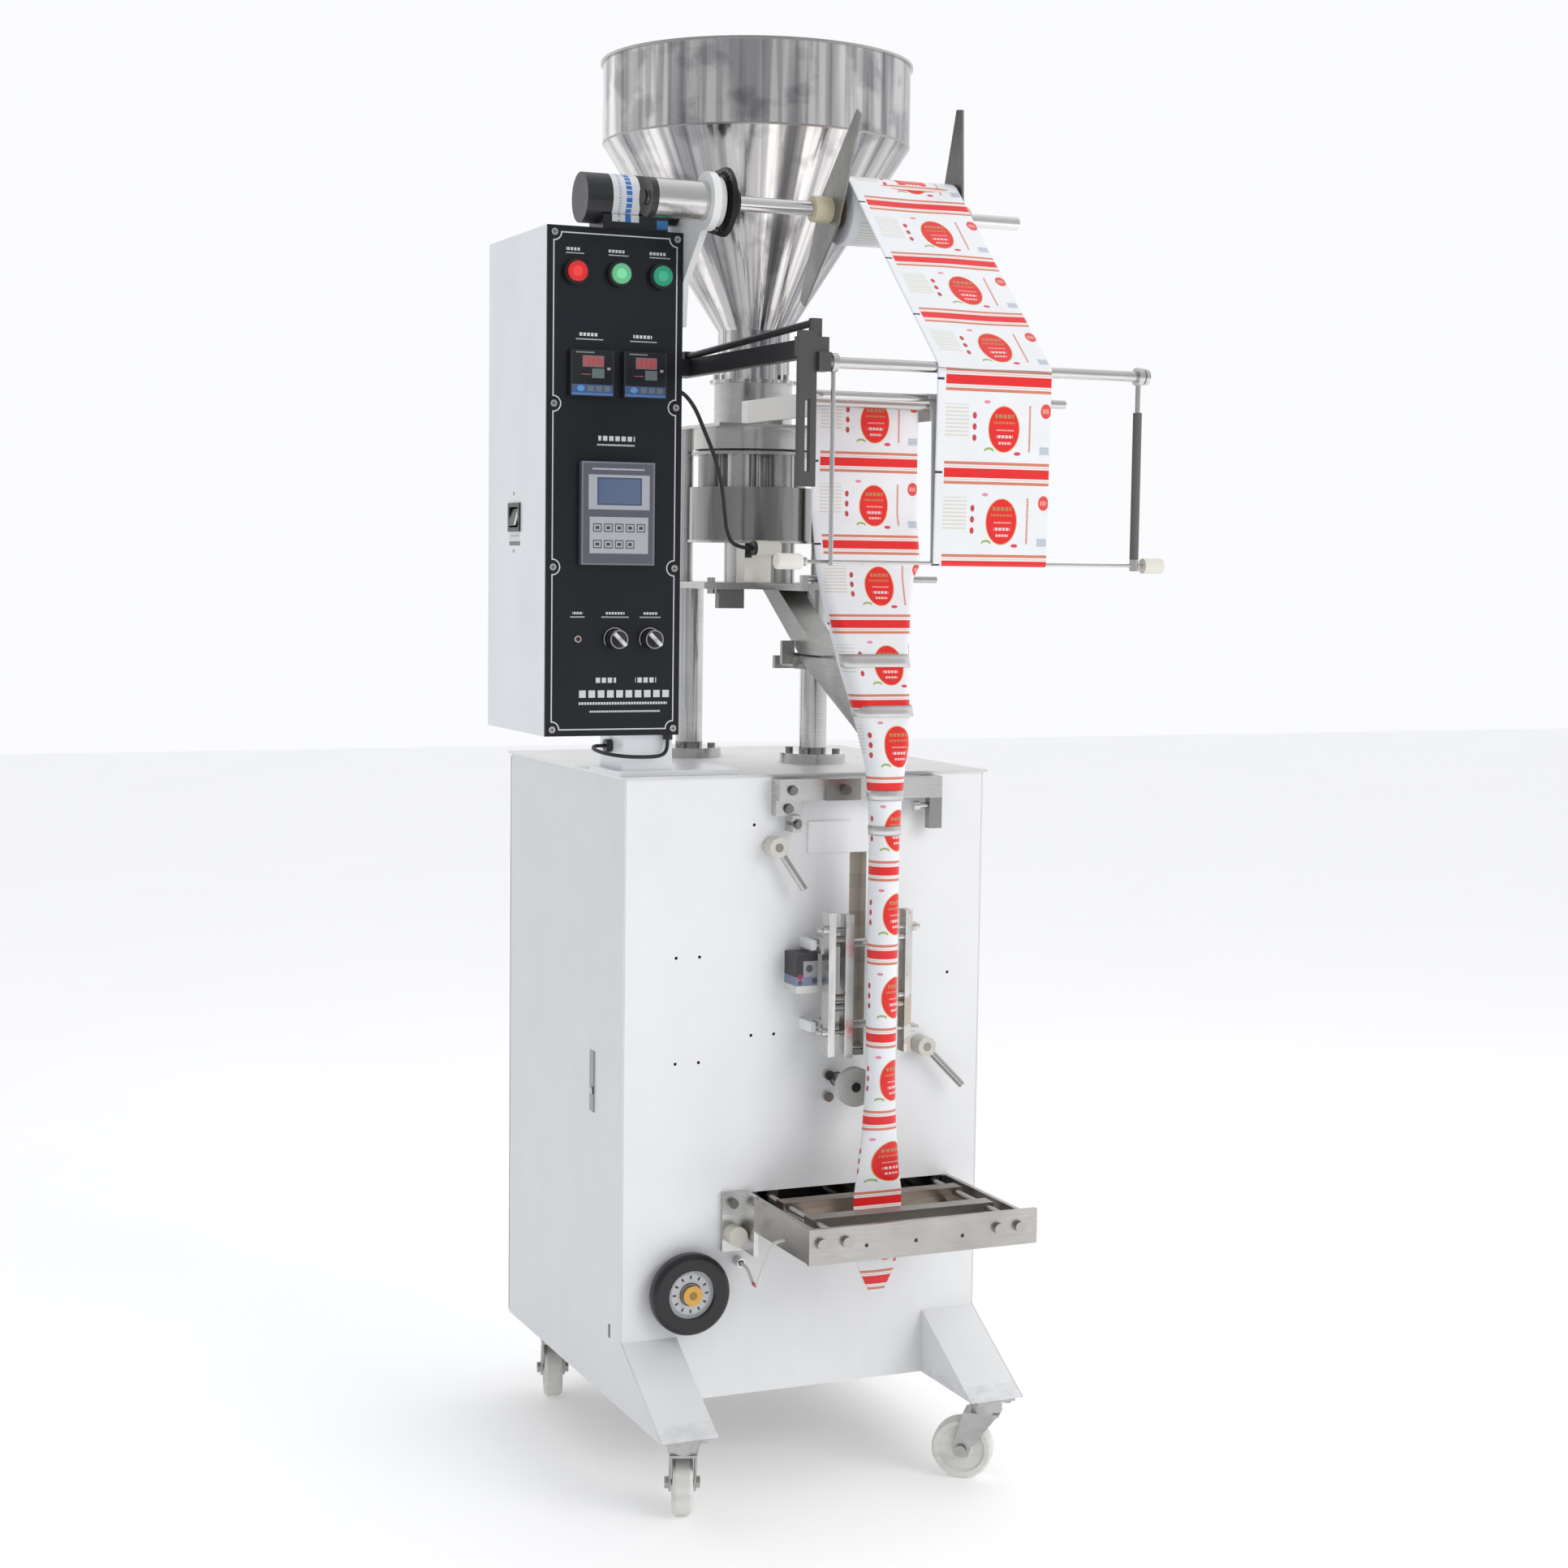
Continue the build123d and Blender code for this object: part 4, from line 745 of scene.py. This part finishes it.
def dancer_bush():
    """Nylon bush on the left end of the dancer's cross rod."""
    outline = [(43, 6.9), (43.6, 7.9), (45, 8.5), (70.4, 8.5), (72.2, 7.6), (73, 6.2)]
    outline += [(73, 4.6), (78, 4.6), (78.6, 4.2), (78.8, 2), (103.8, 2)]
    piece = turned("dancer_left_bush", outline, GUIDE_Y, DANCER_Z)
    s = plastic("bush_nylon", NYLON, 0.45, 0.5, 0.05)
    s.paint(s.x > 73.2, STEEL, 0.22, 1.0)
    dress(s, piece)
    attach(piece, "dancer")


def caster_finishes():
    """Zinc-plated forks and plates, cast nylon wheels."""
    s = Surface("zinc_plate", (0.50, 0.50, 0.49), 0.34, 1.0)
    s.vary(s.noise(0.06, 4), 0.25, 0.25)
    s.bump(s.noise(0.4, 2), 0.06)
    zinc = s.done()
    dress(zinc, "caster_plates")
    for place in ("front_left", "front_right", "rear_left", "rear_right"):
        dress(zinc, "caster_fork_" + place)
        s = plastic("wheel_nylon_" + place, (0.78, 0.77, 0.73), 0.42, 0.5, 0.06)
        s.vary(s.noise((0.03, 0.03, 0.10), 4), 0.22, 0.2)
        dress(s, "caster_wheel_" + place)


# ---------------------------------------------------------------- film
def film_print(name, back=False):
    """White laminate with red bands, an oval and small marks that stand for its printing; its back is painted
    plain grey as shade.
    """
    s = Surface(name, (0.80, 0.815, 0.84), 0.36, uv="film", Coat_Weight=0.15, Coat_Roughness=0.2)
    if back:
        # Painted shade: the film's back is given a plain grey for the shade it lies in.
        s.color = (0.60, 0.60, 0.60)
        s.vary(s.noise((0.02, 0.05, 0), 3), 0.1, 0.1)
        return s.done()
    u, v = s.x, s.y
    w = v % FILM_PITCH
    t = (v + FILM_PITCH / 2) % FILM_PITCH - FILM_PITCH / 2
    s.vary(s.noise((0.02, 0.03, 0), 3), 0.06, 0.12)
    printed = u > 10.5
    s.paint(printed & (u < 39) & (((w / 4.2) % 1) < 0.45) & (w > 26) & (w < 62), (0.66, 0.65, 0.58))
    s.paint(printed & (abs(abs(t) - 10.6) < 1.6), (0.62, 0.20, 0.12))
    s.paint(printed & (abs(abs(t) - 7.0) < 0.5), (0.75, 0.52, 0.44))
    s.paint(printed & (abs(t) < 5.1), RED)
    s.paint((u < 8.5) & (abs(t) < 1.3), (0.03, 0.04, 0.10))
    s.paint(s.disc(u, w, 82, 52, 19.6, 25.4), (0.66, 0.48, 0.22))
    s.paint(s.disc(u, w, 82, 52, 18.6, 24.4), RED)
    s.paint(words(s, u, w, 71, 94, 38, 4, 5.4), (0.42, 0.24, 0.07))
    s.paint(words(s, u, w, 69, 95, 45, 2.2, 4.2), (0.50, 0.22, 0.08))
    s.paint(words(s, u, w, 72, 94, 53, 1.6, 2.8), (0.75, 0.42, 0.36))
    s.paint(words(s, u, w, 73, 93, 60, 3.2, 4.4), (0.78, 0.62, 0.60))
    s.paint(words(s, u, w, 75, 91, 67, 2.6, 3.6), (0.78, 0.58, 0.56))
    for dot in (38, 50, 62):
        s.paint(s.disc(u, w, 46, dot, 2.5, 3.6), (0.50, 0.05, 0.05))
    s.paint(s.disc(u, w, 64, 75, 6, 3.2) & ~s.disc(u, w, 64, 77, 5, 2.6), (0.34, 0.42, 0.16))
    s.paint(s.rect(u, w, 114, 51, 2.4, 50) & ((w / 2.6) % 1 < 0.8), (0.60, 0.20, 0.13))
    s.paint(s.disc(u, w, 134, 31, 6.6, 8), (0.74, 0.06, 0.05))
    s.paint(words(s, u, w, 130, 138, 31, 5, 2.6), (0.78, 0.35, 0.30))
    s.paint(s.rect(u, w, 133, 74, 12, 9) & ((w / 1.6) % 1 < 0.7), (0.36, 0.42, 0.52))
    s.paint(s.disc(u, w, 61, 23, 3.8, 1.8), (0.72, 0.25, 0.32))
    s.paint(s.disc(u, w, 99, 78, 4.2, 2.0), (0.66, 0.05, 0.10))
    s.bump(s.noise((0.035, 0.06, 0), 3), 0.9)
    return s.done()


def sheet(name, rows, across, along, front, back, thickness=0.25):
    """Film from rows of points; across and along are each point's place on the flat film."""
    width = len(across)
    mesh = bpy.data.meshes.new(name)
    points = [at(*p) for row in rows for p in row]
    faces = []
    for i in range(len(rows) - 1):
        for j in range(width - 1):
            k = i * width + j
            faces.append((k, k + width, k + width + 1, k + 1))
    mesh.from_pydata(points, [], faces)
    layer = mesh.uv_layers.new(name="film")
    for loop in mesh.loops:
        i, j = divmod(loop.vertex_index, width)
        layer.data[loop.index].uv = (across[j], along[i])
    for polygon in mesh.polygons:
        polygon.use_smooth = True
    made = add(name, mesh)
    mesh.materials.append(front)
    mesh.materials.append(back)
    thick = made.modifiers.new("thickness", "SOLIDIFY")
    thick.thickness, thick.offset = thickness / 1000, 0
    thick.material_offset, thick.material_offset_rim = 1, 0
    return made


def web(name, rows, across, along, front, back, thickness=0.25):
    """A stretch of film that stays still, in place of the CAD's film web."""
    made = sheet(name, rows, across, along, front, back, thickness)
    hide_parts("film_web")
    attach(made, "root")


def steps(keys, gap=6.0):
    """Rows of numbers spread evenly between keys, about a gap apart in the first number."""
    rows = []
    for a, b in zip(keys, keys[1:]):
        count = max(1, round(abs(b[0] - a[0]) / gap))
        for i in range(count):
            f = i / count
            rows.append([p + (q - p) * f for p, q in zip(a, b)])
    rows.append(list(keys[-1]))
    return rows


def arc(y, z, radius, start, end, count=10):
    """Points of an arc in the (y, z) plane, angles in degrees from +y."""
    turns = [radians(start + (end - start) * i / count) for i in range(count + 1)]
    return [(y + radius * cos(a), z + radius * sin(a)) for a in turns]


def lengths(path, start):
    """Distance along a path of (y, z) points, counted from a start value."""
    total, made = start, [start]
    for (y0, z0), (y1, z1) in zip(path, path[1:]):
        total += sqrt((y1 - y0) ** 2 + (z1 - z0) ** 2)
        made.append(total)
    return made


def refine(path, gap=7.0):
    """The same path with its long runs divided."""
    made = []
    for (y0, z0), (y1, z1) in zip(path, path[1:]):
        count = max(1, round(sqrt((y1 - y0) ** 2 + (z1 - z0) ** 2) / gap))
        made += [(y0 + (y1 - y0) * i / count, z0 + (z1 - z0) * i / count) for i in range(count)]
    return made + [path[-1]]


ACROSS = [i * 2.5 for i in range(int(FILM_W / 2.5) + 1)]


def wrapped(s, flat, radius, turn):
    """Where a point s millimetres from the film's front centre lies: sideways and back from the front."""
    side, far = (1 if s >= 0 else -1), abs(s)
    if far <= flat / 2:
        return s, 0.0
    bend = far - flat / 2
    if bend <= radius * turn:
        return side * (flat / 2 + radius * sin(bend / radius)), radius * (1 - cos(bend / radius))
    rest = bend - radius * turn
    x = side * (flat / 2 + radius * sin(turn) + rest * cos(turn))
    return x, radius * (1 - cos(turn)) + rest * sin(turn)


def seamed(s, x, depth, radius, fold):
    """Turns an edge of the film outwards where it comes to the seam at the back of the tube."""
    past = SEAM_SHIFT - x if s > 0 else x - SEAM_SHIFT
    if depth < radius or past <= 0 or fold <= 0:
        return x, depth
    return x + (SEAM_SHIFT - x) * fold, depth + 0.2 * past * fold


def film_front(front, back):
    """Film over the rear rollers, folded round the former into a tube, down to the pouch."""
    over = arc(-318, 1297, 5.7, 180, 92) + arc(-24, 1309, 5.7, 92, 0)
    down = refine(over + [(-18.2, 1180), (-34, 1120)])
    along = lengths(down, 0)
    along, rows = [v - along[-1] + 1000 - 78 for v in along], []
    for (y, z), v in zip(down, along):
        curl = max(0.0, min(1.0, (1290 - z) / 165)) ** 1.5 if y > -40 else 0.0
        row = []
        for u in ACROSS:
            x, depth = wrapped(u - FILM_HALF, FILM_W - 16 * curl, 8, radians(34 * curl) + 0.001)
            ripple = 0.5 * sin(u / 19 + v / 31) * min(1, abs(z - 1303) / 90)
            row.append((FILM_X + x, y + depth + ripple, z))
        rows.append(row)
    # z, front y, flat width, corner radius, turn in degrees, seam shift, width and depth scale, sideways
    keys = [
        (1119, -34.4, 124, 8, 34, 0, 1, 1, 0),
        (1100, -41.4, 106, 9, 76, 0, 1, 1, -3),
        (1050, -60.4, 82, 11, 92, 0, 1, 1, -5),
        (1003, -78.4, 62, 13, 100, 0, 1, 1, -6),
        (950, -98.4, 44, 15, 114, 0.5, 1, 1, -6),
        (905, -113.4, 27, 16.6, 134, 1, 1, 1, -6),
        (880, -116.6, 13, 18, 152, 1.4, 1, 1, -5.5),
        (840, -115.6, 4, 18.3, 172, 1.4, 1, 1, -4.5),
        (800, -114.2, 0, 18.2, 180, 1.4, 1, 1, -4),
        (600, -114.2, 0, 18.2, 180, 1.4, 1, 1, -4),
        (500, -113.7, 0, 17.7, 180, 1.4, 1, 0.99, -4),
        (450, -109.5, 0, 17.7, 180, 1.4, 1.22, 0.74, -4.6),
        (400, -102.8, 0, 17.7, 180, 1.4, 1.52, 0.38, -5),
        (366, -97.4, 0, 17.7, 180, 1.4, 1.78, 0.06, -5),
        (356, -96.5, 0, 17.7, 180, 1.4, 1.79, 0.02, -5),
        (313, -96.4, 0, 17.7, 180, 1.4, 1.77, 0.015, -5),
    ]
    v = along[-1]
    last = down[-1]
    for z, y, flat, radius, turn, shift, wide, deep, aside in steps(keys):
        v += sqrt((z - last[1]) ** 2 + (y - last[0]) ** 2) if z > 880 else last[1] - z
        last = (y, z)
        row = []
        for u in ACROSS:
            x, depth = wrapped(u - FILM_HALF - shift, flat, radius, radians(turn))
            x, depth = seamed(u - FILM_HALF - shift, x, depth, radius, (turn - 172) / 8)
            crease = 0.5 * sin(z / 23 + u / 17) * sin(z / 9.0) * (1 if 370 < z < 560 else 0.3)
            row.append((FILM_X + aside + x * wide, y + depth * deep + crease * (deep > 0.1), z))
        rows.append(row)
        along.append(v)
    web("film_folded", rows, ACROSS, along, front, back)


def film_upper(front, back):
    """Film from the reel to the front roller."""
    top = refine(arc(UNWIND_Y, UNWIND_Z, REEL_R + 0.4, 92, 124, 4) + arc(GUIDE_Y, 1330, 6.8, 134, 180))
    along = lengths(top, 0)
    along = [v - along[-1] + 1000 - 12 for v in along]
    rows = []
    for (y, z), v in zip(top, along):
        sag = 1.4 * sin(pi * min(1, max(0, (-105 - y) / 225)))
        rows.append([(FILM_LEFT + u, y, z - sag - 0.4 * sin(u / 22 + v / 40)) for u in ACROSS])
    web("film_upper", rows, ACROSS, along, front, back)


def film_slack(front, back):
    """Film from the front roller down round the dancer's rod and back up."""
    under = arc(GUIDE_Y, DANCER_Z, 2.8, 180, 360)[1:]
    loop = refine([(-343.8, 1329), (-339.8, 1122)] + under + [(-331, 1281), (-324, 1295)])
    along = lengths(loop, 1000 - 11)
    rows = []
    for y, z in loop:
        swell = 1.6 * sin(pi * min(1, max(0, (z - DANCER_Z) / 205)))
        side = 1 if y < GUIDE_Y else -1
        rows.append([(FILM_LEFT + u, y - swell * sin(u / 44.6) * side, z) for u in ACROSS])
    made = sheet("film_slack", rows, ACROSS, along, front, back)
    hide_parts("film_loop")
    start, end = at(FILM_X, GUIDE_Y, 1322), at(FILM_X, GUIDE_Y, 1200)
    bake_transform(made)


def film_fin(back):
    """Sealed back seam that stands off the tube and turns into the nip of the rollers."""
    rows, along = [], []
    fin = ((297, -78.8), (299.4, -75), (302.4, -70), (304.3, -64), (304.3, -57), (304.3, -49))
    cells = lengths(fin, 0)
    for z in range(800, 455, -8):
        bow = 0.8 * sin(z / 37)
        rows.append([(x + bow * (y + 79) / 30, y, z) for x, y in fin])
        along.append(1000 - z)
    web("film_fin", rows, cells, along, back, back, 0.4)


def film_tip(front, back):
    """Half-made pouch below the cross jaws, its two walls gathered towards the bottom."""
    cells = ACROSS[16:41]
    keys = [(313, 1), (300, 0.98), (288, 0.92), (272, 0.76), (256, 0.50), (243, 0.27)]
    for side in (-1, 1):
        rows, along = [], []
        for z, wide in steps(keys, 4):
            puff = 2.4 * sin(pi * min(1, max(0, (313 - z) / 72)))
            row = []
            for u in cells:
                part = (u - FILM_HALF) / 30
                y = TUBE_Y + side * (0.25 + puff * (1 - part * part))
                row.append((FILM_X - 5 + (u - FILM_HALF) * wide, y, z))
            rows.append(row if side < 0 else row[::-1])
            along.append(1159.8 - z)
        web("film_tip_front" if side < 0 else "film_tip_rear", rows, cells, along, front, back)


def film_roll(front):
    """Reel of film on its core, turned about the unwind shaft."""
    edge = [(70, 12), (70, 20), (70.3, 20), (70.3, 24), (70, 30), (70.4, 36), (70, 38.7), (69.5, REEL_R)]
    outline = [(-x, r) for x, r in edge] + [(-35 + 5 * i, REEL_R) for i in range(15)]
    outline += edge[::-1] + [(0, 12)]
    count, n = 96, len(outline)
    points, faces = [], []
    for i in range(count):
        a = 2 * pi * i / count
        points += [at(FILM_X + x, UNWIND_Y + r * cos(a), UNWIND_Z + r * sin(a)) for x, r in outline]
        k, m = i * n, ((i + 1) % count) * n
        faces += [(k + j, m + j, m + (j + 1) % n, k + (j + 1) % n) for j in range(n)]
    mesh = bpy.data.meshes.new("film_roll")
    mesh.from_pydata(points, [], faces)
    s = Surface("wound_film_edge", (0.66, 0.66, 0.68), 0.45)
    radius = s.distance(s.y - UNWIND_Y, s.z - UNWIND_Z)
    s.vary(s.noise((0, 0.02, 0.02), 2), 0.15, 0.1)
    s.vary((radius * 1.1) % 1, 0.22)
    s.paint((radius < 20) & (radius > 11), (0.36, 0.25, 0.15), 0.7)
    mesh.materials.append(front)
    mesh.materials.append(s.done())
    layer = mesh.uv_layers.new(name="film")
    for polygon in mesh.polygons:
        polygon.use_smooth = True
        i = polygon.index // n
        for index in polygon.loop_indices:
            ring, spot = divmod(mesh.loops[index].vertex_index, n)
            turn = count if ring == 0 and i == count - 1 else ring
            layer.data[index].uv = (outline[spot][0] + FILM_HALF, 500 - REEL_R * 2 * pi * turn / count)
        polygon.material_index = 1 if abs(polygon.normal.x) > 0.5 or polygon.index % n >= n - 2 else 0
    made = add("film_roll", mesh)
    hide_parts("film_reel")
    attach(made, "unwind_shaft")


def film_pieces():
    """All of the film, from the reel to the pouch."""
    front, back = film_print("printed_film"), film_print("film_inside_painted_shade", back=True)
    film_upper(front, back)
    film_slack(front, back)
    film_front(front, back)
    film_fin(back)
    film_tip(front, back)
    film_roll(front)


def straps():
    """Thin steel bands of the former that hold the folded film."""
    s = steel("strap_steel", (0.74, 0.735, 0.72), 0.42, (0.03, 0.03, 1.2), 0.15)
    material = s.done()
    bands = (
        (1004, 15, -79, 62, 14, 96, -6),
        (945, 13, -101.4, 42, 17.5, 104, -4),
        (846, 12, -116.9, 5, 19.4, 120, -4.5),
        (804, 11, -115.5, 0, 19.3, 130, -4),
    )
    for number, (z, tall, y, flat, radius, turn, shift) in enumerate(bands):
        reach = flat / 2 + radius * radians(turn)
        cells = [-reach + 2 * reach * i / 40 for i in range(41)]
        rows = []
        for dz in (tall / 2, 0, -tall / 2):
            tilt = dz * 0.38 if z > 880 else 0.0
            row = []
            for cell in cells:
                x, depth = wrapped(cell, flat, radius, radians(turn))
                row.append((FILM_X + shift + x, y + depth + tilt, z + dz))
            rows.append(row)
        made = sheet(f"former_band_{number}", rows, cells, [0, tall / 2, tall], material, material, 0.9)
        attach(made, "root")


# ---------------------------------------------------------------- cords
CORDS = (
    ("sensor_cable", "level_sensor_cable", 5, 0.258, "medium", "hanging", (0.014, 0.014, 0.015), [
        (77, 80, 1325), (95, 80, 1325), (114, 79, 1306), (128, 80, 1276), (143, 83, 1246),
        (155, 89, 1214), (163, 99, 1183), (171, 112, 1156), (186, 121, 1136), (210, 121, 1136)]),
    ("jaw_wire", "jaw_heater_wire", 4, 0.164, "medium", "hanging", (0.72, 0.70, 0.66), [
        (150, -14, 272), (150, -32, 272), (147, -52, 263), (142, -74, 260), (137, -95, 268),
        (135, -110, 285), (138, -118, 306), (146, -118, 325), (161, -118, 325)]),
    ("box_cable", "control_box_cable", 4.5, 0.154, "limp", "hanging", (0.014, 0.014, 0.015), [
        (-4, 60, 898), (-13, 60, 898), (-21, 54, 897.5), (-25, 39, 895), (-20, 12, 892), (0, 2, 889),
        (26, 2, 888), (44, 4, 888.5), (53, 8, 891.5), (57, 10, 899), (57, 10, 908)]),
)


def cords():
    """Three cables as smooth curves over the CAD's routes."""
    for node, name, diameter, length, stiffness, lay, color, route in CORDS:
        curve = bpy.data.curves.new(name, "CURVE")
        curve.dimensions = "3D"
        spline = curve.splines.new("NURBS")
        spline.points.add(len(route) - 1)
        for point, place in zip(spline.points, route):
            point.co = (*at(*place), 1)
        spline.order_u, spline.use_endpoint_u = 3, True
        curve.resolution_u, curve.bevel_resolution = 12, 6
        curve.bevel_depth, curve.use_fill_caps = diameter / 2000, True
        made = add(name, curve)
        s = plastic(name + "_sheath", color, 0.42, 0.6, 0.05)
        if node == "jaw_wire":
            s.paint((s.y < -66) & (s.y > -90), (0.55, 0.03, 0.03), 0.35)
        curve.materials.append(s.done())
        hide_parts(node)
        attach(made, "root")
        tuple(at(*route[0]))


def floor():
    """Plain pale floor, a little brighter than the light alone makes it."""
    mesh = bpy.data.meshes.new("floor")
    mesh.from_pydata([(-12, -12, 0), (12, -12, 0), (12, 12, 0), (-12, 12, 0)], [], [(0, 1, 2, 3)])
    ground = add("floor", mesh)
    white = (0.95, 0.95, 0.95)
    s = Surface("floor_paper", white, 0.85, Emission_Color=(1, 1, 1, 1), Emission_Strength=0.18)
    s.vary(s.noise(0.002, 2), 0.02)
    dress(s, ground)


camera()
cords()
studio()
cabinet_finishes()
handwheel_finish()
panel_print()
meter_finish()
bag_controller_finish()
panel_fitting_finishes()
box_finish()
hopper_finish()
filler_finishes()
unwind_finishes()
roller_finishes()
bracket_finishes()
jaw_finishes()
slot_liner()
dancer_bush()
nip_and_lever_finishes()
caster_finishes()
film_pieces()
straps()
floor()
